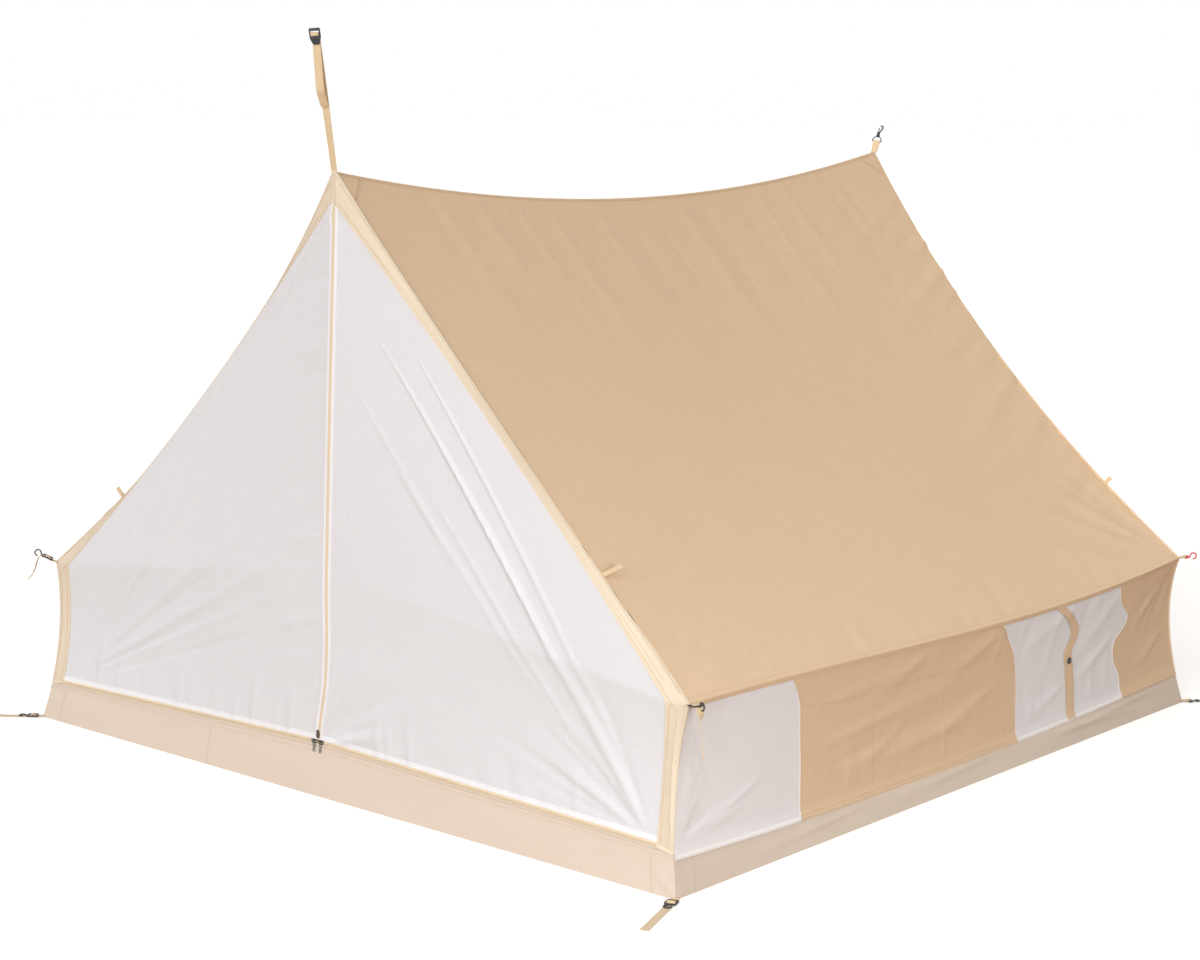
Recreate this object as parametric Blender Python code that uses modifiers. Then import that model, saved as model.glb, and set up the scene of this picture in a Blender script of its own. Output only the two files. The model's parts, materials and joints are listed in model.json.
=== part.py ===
"""Cabin tent: a hung fabric cabin with a ridge roof, low side walls, a bathtub floor and a zipped mesh front.

Metres, +Z up. The origin is the middle of the floor's underside, the door looks along -Y and the ridge runs
along Y. Fabric is modelled as thin closed panels that meet at their seams, each with the catenary curves that
tension gives it.
"""

import math

import bmesh
import bpy
from mathutils import Matrix, Vector

# Directions, as signs of X and Y
LEFT, RIGHT = -1, 1
FRONT, REAR = -1, 1

# Overall sizes
FLOOR_WIDTH = 2.200
FLOOR_LENGTH = 2.330
RIDGE_HEIGHT = 1.523
EAVE_HEIGHT = 0.427
TUB_HEIGHT = 0.098

# How far each level stands in from the floor's edge
TUB_LEAN_SIDE = 0.023
TUB_LEAN_END = 0.018
EAVE_IN_SIDE = 0.012
EAVE_IN_END = 0.048
RIDGE_IN_END = 0.038

# Catenary cuts: how far the middle of each edge leaves its straight line
RIDGE_SAG = 0.100
EAVE_SAG = 0.042
EAVE_SAG_REARWARD = 0.7
EAVE_TUCK = 0.035
GABLE_DIP = 0.046
GABLE_TUCK = 0.050
CORNER_TUCK = 0.009
RIM_SIDE_DIP = 0.032
RIM_SIDE_TUCK = 0.012
SILL_RISE = 0.0275

# Materials' thicknesses and the clearances between neighbours
FABRIC = 0.002
WEBBING = 0.0015
WEBBING_WIDTH = 0.020
SEAM_GAP = 0.0004
BINDING_GAP = 0.0008
CORNER_GAP = 0.0006
FOOT_GAP = 0.0012
FIT_GAP = 0.0004
FOOT_TRIM = 0.0021
PEAK_TRIM = 0.0046

# Panels that share a seam are cut at the same places along it
CORNER_STEPS = 6
GABLE_STEPS = 12

# Front binding, mesh door and its three zips
BINDING_FOOT = 0.046
BINDING_EAVE_IN = 0.058
BINDING_EAVE_BACK = 0.017
BINDING_EAVE_DROP = 0.002
BINDING_APEX_DROP = 0.081
BINDING_INNER_TUCK = 0.036
BINDING_INNER_DIP = 0.006
BINDING_CORNER_TUCK = 0.012
BINDING_FOOT_LIFT = 0.001
ZIP_TOP_DROP = 0.004
ZIP_TOP_HALF = 0.002
ZIP_FOOT_X = -0.038
FOLD_TOP_X = 0.030
FOLD_TOP_DROP = 0.151
FOLD_FOOT_IN = 0.120
FLAP_TOP_GAP = 0.028
TOP_TAPE_GAP = 0.0075
COIL_WIDTH = 0.0042
COIL_THICKNESS = 0.003
COIL_ABOVE_RIM = 0.0075
PARKED_WIDTH = 0.050
PARKED_HEIGHT = 0.046

# Zip sliders and their pulls
SLIDER_LENGTH = 0.020
SLIDER_WIDTH = 0.0105
SLIDER_PLATE = 0.0014
SLIDER_NECK = 0.0016
SLIDER_NECK_LENGTH = 0.0045
SLIDER_PARK_GAP = 0.0035
SILL_PARK_GAP = 0.001
CROWN_RISE = 0.0036
CROWN_REACH = 0.0038
CROWN_WIRE = 0.0014
PULL_LENGTH = 0.027
PULL_WIDTH = 0.0085
PULL_THICKNESS = 0.0013
PULL_BAR = 0.0013
PULL_ARM = 0.0016
PULL_HOLE = 0.0045
PULL_WINDOW = 0.0044

# Seams of the side walls: share of the way up, and distance in from the front end or from the rear end
FRONT_MESH_LENGTH = ((0.0, 0.510), (0.32, 0.510), (0.77, 0.493), (0.88, 0.476), (1.0, 0.444))
WINDOW_START_IN = (
    (0.0, 0.872), (0.13, 0.864), (0.36, 0.858), (0.53, 0.861), (0.69, 0.872), (0.83, 0.899), (0.95, 0.918),
    (1.0, 0.950),
)
WINDOW_END_IN = (
    (0.0, 0.330), (0.16, 0.327), (0.30, 0.352), (0.42, 0.353), (0.50, 0.339), (0.55, 0.301), (0.64, 0.287),
    (0.82, 0.321), (1.0, 0.336),
)
BAND_IN = (
    (0.0, 0.597), (0.25, 0.587), (0.44, 0.587), (0.57, 0.596), (0.655, 0.570), (0.74, 0.563), (0.85, 0.589),
    (1.0, 0.647),
)
BAND_WIDTH = 0.038
BAND_OFFSET = 0.0028
SNAP_RADIUS = 0.009
SNAP_HEIGHT = 0.004
SNAP_UP = 0.47
POCKET_HEIGHT_SHARE = 0.76
POCKET_BULGE = 0.034
POCKET_COUNT = 3
POCKET_OFFSET = 0.0045
POCKET_SEAM = 0.004

# Ladder-lock hooks on the front ties, plain hooks on the rear ties
LOCK_LENGTH = 0.029
LOCK_WIDTH = 0.0275
LOCK_THICKNESS = 0.0034
LOCK_RAIL = 0.0030
LOCK_BAR = 0.0034
LOCK_CORNER = 0.004
HOOK_WIRE = 0.0040
HOOK_MOUTH = 0.0065
HOOK_STEM = 0.007
LUG_LENGTH = 0.012
LUG_CORNER = 0.0025
TIE_TAB_FRONT = 0.013
TIE_TAB_REAR = 0.020
TIE_ROOT_GAP = 0.006
GROUND_GAP = 0.0008

# Corner ties: name, side, end, heading and climb in degrees, and the loose end of those with a ladder-lock
EAVE_TIES = (
    ("front_left_eave", LEFT, FRONT, -140, 24, 0.075),
    ("front_right_eave", RIGHT, FRONT, -22, 8, 0.110),
    ("rear_left_eave", LEFT, REAR, 135, 8, 0.0),
    ("rear_right_eave", RIGHT, REAR, 45, 8, 0.0),
)
BASE_TIES = (
    ("front_left_base", LEFT, FRONT, -140, 0, 0.085),
    ("front_right_base", RIGHT, FRONT, -70, 0, 0.165),
    ("rear_left_base", LEFT, REAR, 135, 0, 0.0),
    ("rear_right_base", RIGHT, REAR, 45, 0, 0.0),
)

# Ridge hanger: webbing up to a ladder-lock with a deep foot
HANGER_LENGTH = 0.300
HANGER_LEAN = 11.0
HANGER_TWIST = 25.0
RIDGE_LOCK_WIDTH = 0.0275
RIDGE_LOCK_FOOT = 0.0185
RIDGE_LOCK_SLOT = 0.0032
RIDGE_LOCK_BAR = 0.0038
RIDGE_LOCK_WINDOW = 0.0058
RIDGE_LOCK_TOP = 0.0070
HANGER_TAIL = 0.145

# Rear snap hook, looped in a short tab
REAR_TAB = 0.033
REAR_TAB_LEAN = 22.0
REAR_TAB_TWIST = 20.0
REAR_TAB_WIDTH = 0.0215
SNAP_EYE_WIDTH = 0.031
SNAP_EYE_HEIGHT = 0.018
SNAP_WIRE = 0.0034
SNAP_COLLAR_RADIUS = 0.0048
SNAP_COLLAR_HEIGHT = 0.0046
SNAP_POST_RADIUS = 0.0021
SNAP_KNOB_RADIUS = 0.0034
SNAP_KNOB_HEIGHT = 0.0026
SNAP_BARREL_RADIUS = 0.0046
SNAP_BARREL_LENGTH = 0.010
SNAP_STEM_WIRE = 0.0044
SNAP_HOOK_RADIUS = 0.0042
SNAP_HOOK_REACH = 0.0090
SNAP_HOOK_RISE = 0.0190
SNAP_GATE_WIRE = 0.0030

# Small tapes sewn in the roof's end seams: place up the gable, reach and direction
TAPE_WIDTH = 0.012
TAPE_ROOT_GAP = 0.0035
TAPE_LIFT = 0.0040
ROOF_TAPES = (
    ("front_left", LEFT, FRONT, 0.205, 0.026, (-0.70, -0.10, 0.70)),
    ("front_right", RIGHT, FRONT, 0.235, 0.055, (0.25, 0.93, 0.28)),
    ("rear_left", LEFT, REAR, 0.190, 0.020, (-0.70, 0.10, 0.70)),
    ("rear_right", RIGHT, REAR, 0.190, 0.020, (0.70, 0.10, 0.70)),
)

SIDES = (("left", LEFT), ("right", RIGHT))
UP = Vector((0, 0, 1))


def lerp(start, end, share):
    return start + (end - start) * share


def bow(share):
    """0 at both ends of an edge and 1 in its middle."""
    return 4 * share * (1 - share)


def along(points, share):
    """The value at a share of the way up, read from (share, value) points with straight runs between."""
    for (low, first), (high, last) in zip(points, points[1:]):
        if share <= high:
            return lerp(first, last, (share - low) / (high - low))
    return points[-1][1]


# The tent's edges, each as a function of how far along it a point is

def base_corner(side, end):
    return Vector((side * FLOOR_WIDTH / 2, end * FLOOR_LENGTH / 2, 0))


def rim_corner(side, end):
    return Vector((
        side * (FLOOR_WIDTH / 2 - TUB_LEAN_SIDE),
        end * (FLOOR_LENGTH / 2 - TUB_LEAN_END),
        TUB_HEIGHT,
    ))


def eave_corner(side, end):
    return Vector((
        side * (FLOOR_WIDTH / 2 - EAVE_IN_SIDE),
        end * (FLOOR_LENGTH / 2 - EAVE_IN_END),
        EAVE_HEIGHT,
    ))


def apex(end):
    return Vector((0, end * (FLOOR_LENGTH / 2 - RIDGE_IN_END), RIDGE_HEIGHT))


def gable_edge(side, end, share):
    """Eave corner to apex."""
    foot = eave_corner(side, end)
    top = apex(end)
    run = top - foot
    inward = Vector((-side * abs(run.z), 0, -abs(run.x))).normalized()
    return lerp(foot, top, share) + bow(share) * (GABLE_DIP * inward + Vector((0, -end * GABLE_TUCK, 0)))


def corner_edge(side, end, share):
    """Tub rim to eave corner."""
    tuck = Vector((-side * CORNER_TUCK, -end * CORNER_TUCK, 0))
    return lerp(rim_corner(side, end), eave_corner(side, end), share) + bow(share) * tuck


def eave_edge(side, share):
    """Front to rear."""
    sag = EAVE_SAG * (1 + EAVE_SAG_REARWARD * (2 * share - 1))
    tuck = Vector((-side * EAVE_TUCK, 0, -sag))
    return lerp(eave_corner(side, FRONT), eave_corner(side, REAR), share) + bow(share) * tuck


def ridge_edge(share):
    """Front to rear."""
    return lerp(apex(FRONT), apex(REAR), share) - bow(share) * RIDGE_SAG * UP


def side_rim(side, share):
    """Front to rear."""
    tuck = Vector((-side * RIM_SIDE_TUCK, 0, -RIM_SIDE_DIP))
    return lerp(rim_corner(side, FRONT), rim_corner(side, REAR), share) + bow(share) * tuck


def end_rim(end, share):
    """Left to right. The front rim is held up in its middle by the door's zip."""
    point = lerp(rim_corner(-1, end), rim_corner(1, end), share)
    rise = SILL_RISE * (1 - abs(2 * share - 1)) if end == FRONT else -RIM_SIDE_DIP * bow(share) / 2
    return point + rise * UP


def patch(low, high, first, last, across, up):
    """A point of the surface stretched between four edges.

    low and high run along across, first and last along up.
    """
    ruled = lerp(low(across), high(across), up) + lerp(first(up), last(up), across)
    corners = lerp(lerp(low(0), low(1), across), lerp(high(0), high(1), across), up)
    return ruled - corners


def roof_point(side, across, up):
    return patch(
        lambda s: eave_edge(side, s),
        ridge_edge,
        lambda s: gable_edge(side, FRONT, s),
        lambda s: gable_edge(side, REAR, s),
        across,
        up,
    )


def wall_point(side, across, up):
    return patch(
        lambda s: side_rim(side, s),
        lambda s: eave_edge(side, s),
        lambda s: corner_edge(side, FRONT, s),
        lambda s: corner_edge(side, REAR, s),
        across,
        up,
    )


def from_end(end, distances):
    """Places along the tent, from distances in from one end of its floor."""
    return tuple((share, end * (FLOOR_LENGTH / 2 - distance)) for share, distance in distances)


WINDOW_BAND = from_end(REAR, BAND_IN)


def edge_trim(side, end):
    """Shares of a corner and gable edge, run as one, that are left free at its foot and at its peak."""
    upright = (eave_corner(side, end) - rim_corner(side, end)).length
    slant = (apex(end) - eave_corner(side, end)).length
    return FOOT_TRIM / (3 * upright), PEAK_TRIM / (1.5 * slant)


def wall_share(y):
    """How far along the side wall a place y lies."""
    half = FLOOR_LENGTH / 2 - (TUB_LEAN_END + EAVE_IN_END) / 2
    return (y + half) / (2 * half)


# Objects

def new_collection(name):
    made = bpy.data.collections.new(name)
    bpy.context.scene.collection.children.link(made)
    return made


def material(name, colour, roughness, metallic=0.0):
    made = bpy.data.materials.new(name)
    made.use_nodes = True
    shader = made.node_tree.nodes["Principled BSDF"]
    shader.inputs["Base Color"].default_value = (*colour, 1)
    shader.inputs["Roughness"].default_value = roughness
    shader.inputs["Metallic"].default_value = metallic
    made.diffuse_color = (*colour, 1)
    return made


def add_object(name, data, finish, matrix=None, parent=None):
    made = bpy.data.objects.new(name, data)
    TENT.objects.link(made)
    if finish:
        data.materials.clear()
        data.materials.append(finish)
    if parent:
        made.parent = parent
        made.matrix_parent_inverse = parent.matrix_world.inverted()
    made.matrix_world = matrix or Matrix.Identity(4)
    return made


def add_pivot(name, place):
    """An empty on a joint's axis, which carries the pieces that turn about it."""
    pivot = bpy.data.objects.new(name, None)
    TENT.objects.link(pivot)
    pivot.empty_display_size = 0.02
    pivot.matrix_world = Matrix.Translation(place)
    bpy.context.view_layer.update()
    return pivot


def hang_on(made, pivot):
    made.parent = pivot
    made.matrix_parent_inverse = pivot.matrix_world.inverted()


def cloth_panel(name, point, columns, rows, finish, thickness=FABRIC, offset=0.0, parent=None):
    """A grid whose points are placed by point(across, up), both 0 to 1, and given a thickness."""
    grid = bmesh.new()
    bmesh.ops.create_grid(grid, x_segments=columns, y_segments=rows, size=0.5)
    for vertex in grid.verts:
        vertex.co = point(vertex.co.x + 0.5, vertex.co.y + 0.5)
    mesh = bpy.data.meshes.new(name)
    grid.to_mesh(mesh)
    grid.free()
    made = add_object(name, mesh, finish, parent=parent)
    wall = made.modifiers.new("thickness", "SOLIDIFY")
    wall.thickness = thickness
    wall.offset = offset
    wall.use_even_offset = True
    mesh.shade_smooth()
    return made


def outline_solid(name, outlines, thickness, finish, matrix=None, parent=None):
    """A flat piece, half its thickness each way. The first outline is its outside and the rest are holes."""
    curve = bpy.data.curves.new(name, "CURVE")
    curve.dimensions = "2D"
    curve.fill_mode = "BOTH"
    curve.extrude = thickness / 2
    for outline in outlines:
        spline = curve.splines.new("POLY")
        spline.points.add(len(outline) - 1)
        for point, (x, y) in zip(spline.points, outline):
            point.co = (x, y, 0, 1)
        spline.use_cyclic_u = True
    return add_object(name, curve, finish, matrix, parent)


def wire(name, points, radius, finish, matrix=None, parent=None, sides=2, closed=False):
    """A round bar along points."""
    curve = bpy.data.curves.new(name, "CURVE")
    curve.dimensions = "3D"
    curve.bevel_depth = radius
    curve.bevel_resolution = sides
    curve.use_fill_caps = True
    spline = curve.splines.new("POLY")
    spline.points.add(len(points) - 1)
    for point, place in zip(spline.points, points):
        point.co = (*place, 1)
    spline.use_cyclic_u = closed
    return add_object(name, curve, finish, matrix, parent)


def as_mesh(source):
    """The object's evaluated shape as a mesh with welded caps, in place of its curve."""
    graph = bpy.context.evaluated_depsgraph_get()
    mesh = bpy.data.meshes.new_from_object(source.evaluated_get(graph))
    welded = bmesh.new()
    welded.from_mesh(mesh)
    bmesh.ops.remove_doubles(welded, verts=welded.verts, dist=0.00001)
    bmesh.ops.recalc_face_normals(welded, faces=welded.faces)
    welded.to_mesh(mesh)
    welded.free()
    name, place, parent = source.name, source.matrix_world.copy(), source.parent
    finish = source.data.materials[0]
    bpy.data.objects.remove(source)
    return add_object(name, mesh, finish, place, parent)


def unite(body, *others):
    """Joins closed pieces into the first one."""
    body = as_mesh(body)
    for other in others:
        other = as_mesh(other)
        join = body.modifiers.new("join", "BOOLEAN")
        join.operation = "UNION"
        join.solver = "EXACT"
        join.object = other
        body = as_mesh(body)
        bpy.data.objects.remove(other)
    return body


def cut_away(body, cutter):
    """Cuts a closed piece out of the body and removes the cutter."""
    cutter = as_mesh(cutter)
    cut = body.modifiers.new("cut", "BOOLEAN")
    cut.operation = "DIFFERENCE"
    cut.solver = "EXACT"
    cut.object = cutter
    body = as_mesh(body)
    bpy.data.objects.remove(cutter)
    return body


def rounded_rectangle(length, width, radius, steps=3, start=0.0):
    """Corner points of a rectangle from start to start + length in X, with its width across Y."""
    points = []
    middles = (
        (start + length - radius, width / 2 - radius, 0),
        (start + radius, width / 2 - radius, 90),
        (start + radius, radius - width / 2, 180),
        (start + length - radius, radius - width / 2, 270),
    )
    for x, y, first in middles:
        for step in range(steps + 1):
            angle = math.radians(first + 90 * step / steps)
            points.append((x + radius * math.cos(angle), y + radius * math.sin(angle)))
    return points


def arc(middle, radius, first, last, steps):
    """Points on a circle in X and Y, angles in degrees."""
    angles = [math.radians(lerp(first, last, step / steps)) for step in range(steps + 1)]
    return [(middle[0] + radius * math.cos(a), middle[1] + radius * math.sin(a)) for a in angles]


def ribbon_outline(path, thickness):
    """The closed outline of a strap seen from its edge, as thick all along its path."""
    path = [Vector(point) for point in path]
    outer, inner = [], []
    for index, point in enumerate(path):
        before = (point - path[index - 1]).normalized() if index else (path[1] - point).normalized()
        after = (path[index + 1] - point).normalized() if index < len(path) - 1 else before
        mean = (before + after).normalized()
        across = Vector((-mean.y, mean.x))
        reach = thickness / 2 / max(across.dot(Vector((-before.y, before.x))), 0.4)
        outer.append(tuple(point + across * reach))
        inner.append(tuple(point - across * reach))
    return outer + inner[::-1]


def frame_matrix(origin, forward, up):
    """Local X along forward, local Y along up and local Z across."""
    forward = forward.normalized()
    across = forward.cross(up).normalized()
    up = across.cross(forward)
    columns = Matrix((forward, up, across)).transposed()
    return Matrix.Translation(origin) @ columns.to_4x4()


def flat_matrix(matrix):
    """The same place, with local Y across and local Z along the old up, for outlines seen from above."""
    return matrix @ Matrix.Rotation(math.radians(90), 4, "X")


bpy.ops.object.select_all(action="DESELECT")
for old in list(bpy.data.objects):
    bpy.data.objects.remove(old)
TENT = new_collection("cabin_tent")

COTTON = material("roof_cotton", (0.66, 0.49, 0.33), 0.9)
WALL_COTTON = material("wall_cotton", (0.62, 0.45, 0.30), 0.9)
BINDING_COTTON = material("binding_cotton", (0.80, 0.69, 0.51), 0.85)
MESH_CLOTH = material("mesh", (0.86, 0.84, 0.83), 0.8)
TUB_CLOTH = material("tub_polyester", (0.70, 0.60, 0.52), 0.6)
STRAP = material("webbing", (0.72, 0.58, 0.40), 0.8)
COIL = material("zip_coil", (0.74, 0.62, 0.44), 0.5)
ACETAL = material("black_acetal", (0.02, 0.02, 0.02), 0.4)
RED_ACETAL = material("red_acetal", (0.55, 0.01, 0.01), 0.4)
SLIDER_METAL = material("slider_metal", (0.05, 0.05, 0.045), 0.35, 0.9)
PULL_METAL = material("pull_metal", (0.28, 0.28, 0.24), 0.4, 0.9)

PANEL_EDGE = FABRIC / 2 + SEAM_GAP


def tub_floor():
    """Floor and four leaning walls in one piece. The walls stand outside the floor's edge line."""
    tub = bmesh.new()
    bmesh.ops.create_grid(tub, x_segments=12, y_segments=12, size=0.5)
    for vertex in tub.verts:
        vertex.co.x *= FLOOR_WIDTH
        vertex.co.y *= FLOOR_LENGTH
    boundary = [edge for edge in tub.edges if edge.is_boundary]
    risen = bmesh.ops.extrude_edge_only(tub, edges=boundary)["geom"]
    for vertex in (item for item in risen if isinstance(item, bmesh.types.BMVert)):
        x, y = vertex.co.x, vertex.co.y
        if abs(abs(x) - FLOOR_WIDTH / 2) < 1e-5:
            vertex.co = side_rim(math.copysign(1, x), y / FLOOR_LENGTH + 0.5)
        else:
            vertex.co = end_rim(math.copysign(1, y), x / FLOOR_WIDTH + 0.5)
    bmesh.ops.recalc_face_normals(tub, faces=tub.faces)
    middle = min(tub.faces, key=lambda face: face.calc_center_median().length)
    if middle.normal.z > 0:
        bmesh.ops.reverse_faces(tub, faces=tub.faces)
    mesh = bpy.data.meshes.new("tub_floor")
    tub.to_mesh(mesh)
    tub.free()
    made = add_object("tub_floor", mesh, TUB_CLOTH)
    wall = made.modifiers.new("thickness", "SOLIDIFY")
    wall.thickness = FABRIC
    wall.offset = -1
    wall.use_even_offset = True
    return made


def roof_panels():
    for name, side in SIDES:
        length = (apex(REAR) - apex(FRONT)).length
        height = (apex(FRONT) - eave_corner(side, FRONT)).length
        end_in = PANEL_EDGE / length
        side_in = PANEL_EDGE / height

        def place(across, up, side=side, end_in=end_in, side_in=side_in):
            return roof_point(side, lerp(end_in, 1 - end_in, across), lerp(side_in, 1 - side_in, up))

        cloth_panel(f"{name}_roof", place, 14, GABLE_STEPS, COTTON)


def wall_panel(
    name, side, front_edge, rear_edge, finish, columns, rows=CORNER_STEPS, offset_in=0.0, top=1.0, bulge=None
):
    """A side wall piece between two edges given as places y against the share of the way up."""
    foot = FOOT_GAP / (EAVE_HEIGHT - TUB_HEIGHT)
    head = 1 - PANEL_EDGE / (EAVE_HEIGHT - TUB_HEIGHT)

    def place(across, up):
        up = lerp(foot, head, up) if top == 1.0 else lerp(foot, top, up)
        first = wall_share(along(front_edge, up))
        last = wall_share(along(rear_edge, up))
        point = wall_point(side, lerp(first, last, across), up)
        inward = offset_in + (bulge(across, up) if bulge else 0.0)
        return point - Vector((side * inward, 0, 0))

    return cloth_panel(name, place, columns, rows, finish)


def shifted(edge, step):
    return tuple((share, y + step) for share, y in edge)


def side_walls():
    """Each side wall, front to rear: mesh, cotton with pockets, a mesh window under a tape, and cotton."""
    half_gap = SEAM_GAP / 2
    corner = ((0.0, TUB_LEAN_END), (1.0, EAVE_IN_END))
    edges = {
        "front": shifted(from_end(FRONT, corner), PANEL_EDGE + CORNER_GAP),
        "mesh": from_end(FRONT, FRONT_MESH_LENGTH),
        "window": from_end(REAR, WINDOW_START_IN),
        "rear_cotton": from_end(REAR, WINDOW_END_IN),
        "end": shifted(from_end(REAR, corner), -PANEL_EDGE - CORNER_GAP),
    }
    for name, side in SIDES:
        wall_panel(
            f"{name}_wall_front_mesh", side, edges["front"], shifted(edges["mesh"], -half_gap), MESH_CLOTH, 6
        )
        wall_panel(
            f"{name}_wall_cotton", side, shifted(edges["mesh"], half_gap),
            shifted(edges["window"], -half_gap), WALL_COTTON, 12,
        )
        wall_panel(
            f"{name}_wall_window_mesh", side, shifted(edges["window"], half_gap),
            shifted(edges["rear_cotton"], -half_gap), MESH_CLOTH, 8,
        )
        wall_panel(
            f"{name}_wall_rear_cotton", side, shifted(edges["rear_cotton"], half_gap), edges["end"],
            WALL_COTTON, 5,
        )
        wall_panel(
            f"{name}_window_tape", side, shifted(WINDOW_BAND, -BAND_WIDTH / 2),
            shifted(WINDOW_BAND, BAND_WIDTH / 2), STRAP, 1, offset_in=-BAND_OFFSET,
        )
        window_snap(name, side)

        def pocket_bulge(across, up):
            return POCKET_BULGE * abs(math.sin(math.pi * POCKET_COUNT * across)) * up / POCKET_HEIGHT_SHARE

        wall_panel(
            f"{name}_pockets", side, shifted(edges["mesh"], POCKET_SEAM),
            shifted(edges["window"], -POCKET_SEAM), WALL_COTTON, 18, rows=4, offset_in=POCKET_OFFSET,
            top=POCKET_HEIGHT_SHARE, bulge=pocket_bulge,
        )


def window_snap(name, side):
    """The press stud's cap on the window's tape."""
    share = wall_share(along(WINDOW_BAND, SNAP_UP))
    step = 0.03
    back = wall_point(side, share + step, SNAP_UP) - wall_point(side, share - step, SNAP_UP)
    rise = wall_point(side, share, SNAP_UP + step) - wall_point(side, share, SNAP_UP - step)
    normal = side * back.cross(rise).normalized()
    lift = FABRIC / 2 + 2 * FIT_GAP
    base = wall_point(side, share, SNAP_UP) + Vector((side * BAND_OFFSET, 0, 0)) + normal * lift
    place = Matrix.Translation(base) @ normal.to_track_quat("Z", "Y").to_matrix().to_4x4()
    profile = (
        (SNAP_RADIUS * 0.35, SNAP_HEIGHT),
        (SNAP_RADIUS * 0.55, SNAP_HEIGHT * 0.75),
        (SNAP_RADIUS * 0.85, SNAP_HEIGHT * 0.7),
        (SNAP_RADIUS, SNAP_HEIGHT * 0.3),
        (SNAP_RADIUS, 0.0),
    )
    turned(f"{name}_window_snap", profile, place, ACETAL, 16)


def turned(name, profile, matrix, finish, steps, parent=None):
    """A solid of revolution about local Z from (radius, height) points, top first."""
    shape = bmesh.new()
    heights = [profile[0][1], *[height for _, height in profile], profile[-1][1]]
    radii = [0.0, *[radius for radius, _ in profile], 0.0]
    ring = [shape.verts.new((radius, 0, height)) for radius, height in zip(radii, heights)]
    for first, second in zip(ring, ring[1:]):
        shape.edges.new((first, second))
    mesh = bpy.data.meshes.new(name)
    shape.to_mesh(mesh)
    shape.free()
    made = add_object(name, mesh, finish, matrix, parent)
    screw = made.modifiers.new("turn", "SCREW")
    screw.steps = steps
    screw.render_steps = steps
    screw.use_merge_vertices = True
    screw.merge_threshold = 0.00001
    return made


# The front: a plane from the sill's rim to the apex, and the pieces laid out on it

def front_y(height):
    foot, top = rim_corner(1, FRONT), apex(FRONT)
    return lerp(foot.y, top.y, (height - foot.z) / (top.z - foot.z))


FRONT_UP = Vector((0, front_y(1) - front_y(0), 1)).normalized()
FRONT_OUT = Vector((1, 0, 0)).cross(FRONT_UP)
FRONT_AXES = Matrix((Vector((1, 0, 0)), FRONT_UP, FRONT_OUT)).transposed()
FRONT_PLANE = Matrix.Translation((0, front_y(0), 0)) @ FRONT_AXES.to_4x4()


def on_front(x, height):
    """World point of a place on the front plane."""
    return Vector((x, front_y(height), height))


SILL_MIDDLE = TUB_HEIGHT + SILL_RISE + COIL_ABOVE_RIM
SILL_END = TUB_HEIGHT + COIL_ABOVE_RIM
SILL_HALF = FLOOR_WIDTH / 2 - TUB_LEAN_SIDE
ZIP_TOP = RIDGE_HEIGHT - BINDING_APEX_DROP - ZIP_TOP_DROP
FOLD_TOP = (FOLD_TOP_X, RIDGE_HEIGHT - FOLD_TOP_DROP)
NECK_GAP = SLIDER_NECK / 2 + FIT_GAP


def sill_height(x):
    """Height of the sill zips' middle line, which the centre zip holds up at its foot."""
    side = 1 if x > ZIP_FOOT_X else -1
    return lerp(SILL_MIDDLE, SILL_END, abs(x - ZIP_FOOT_X) / (SILL_HALF - side * ZIP_FOOT_X))


def zip_x(height):
    """Place of the centre zip's middle line. It hangs a little slack, so its foot lies off the middle."""
    return ZIP_FOOT_X * (ZIP_TOP - height) / (ZIP_TOP - SILL_MIDDLE)


FOLD_FOOT_X = SILL_HALF - FOLD_FOOT_IN
BINDING_FOOT_X = SILL_HALF - BINDING_FOOT


def binding_outer(side, share):
    """Up the corner edge for the first third, and the gable edge for the rest."""
    if share < 1 / 3:
        return corner_edge(side, FRONT, share * 3)
    return gable_edge(side, FRONT, (share - 1 / 3) * 1.5)


def binding_inner(side, share):
    """The edge of the door's mesh: up beside the corner, then along the gable to the zip's top."""
    foot = on_front(side * BINDING_FOOT_X, SILL_END + BINDING_FOOT_LIFT)
    eave_x = eave_corner(side, FRONT).x - side * BINDING_EAVE_IN
    eave = on_front(eave_x, EAVE_HEIGHT - BINDING_EAVE_DROP) + Vector((0, BINDING_EAVE_BACK, 0))
    top = on_front(side * (PANEL_EDGE + ZIP_TOP_HALF), RIDGE_HEIGHT - BINDING_APEX_DROP)
    if share < 1 / 3:
        up = share * 3
        return lerp(foot, eave, up) + bow(up) * Vector((-side * CORNER_TUCK / 2, BINDING_CORNER_TUCK, 0))
    up = (share - 1 / 3) * 1.5
    dip = Vector((-side, 0, -1)).normalized() * BINDING_INNER_DIP
    return lerp(eave, top, up) + bow(up) * (dip + Vector((0, BINDING_INNER_TUCK, 0)))


def front_bindings():
    """Cotton frame of the mesh front, one half each side, sewn together above the zip."""
    for name, side in SIDES:
        foot, peak = edge_trim(side, FRONT)

        def place(across, up, side=side, foot=foot, peak=peak):
            up = lerp(foot, 1 - peak, up)
            outer = binding_outer(side, up)
            inner = binding_inner(side, up)
            width = (inner - outer).length
            point = lerp(outer, inner, lerp(PANEL_EDGE / width, 1 - BINDING_GAP / width, across))
            return Vector((side * max(side * point.x, PANEL_EDGE), point.y, point.z))

        cloth_panel(f"{name}_front_binding", place, 3, CORNER_STEPS + GABLE_STEPS, BINDING_COTTON)


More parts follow.
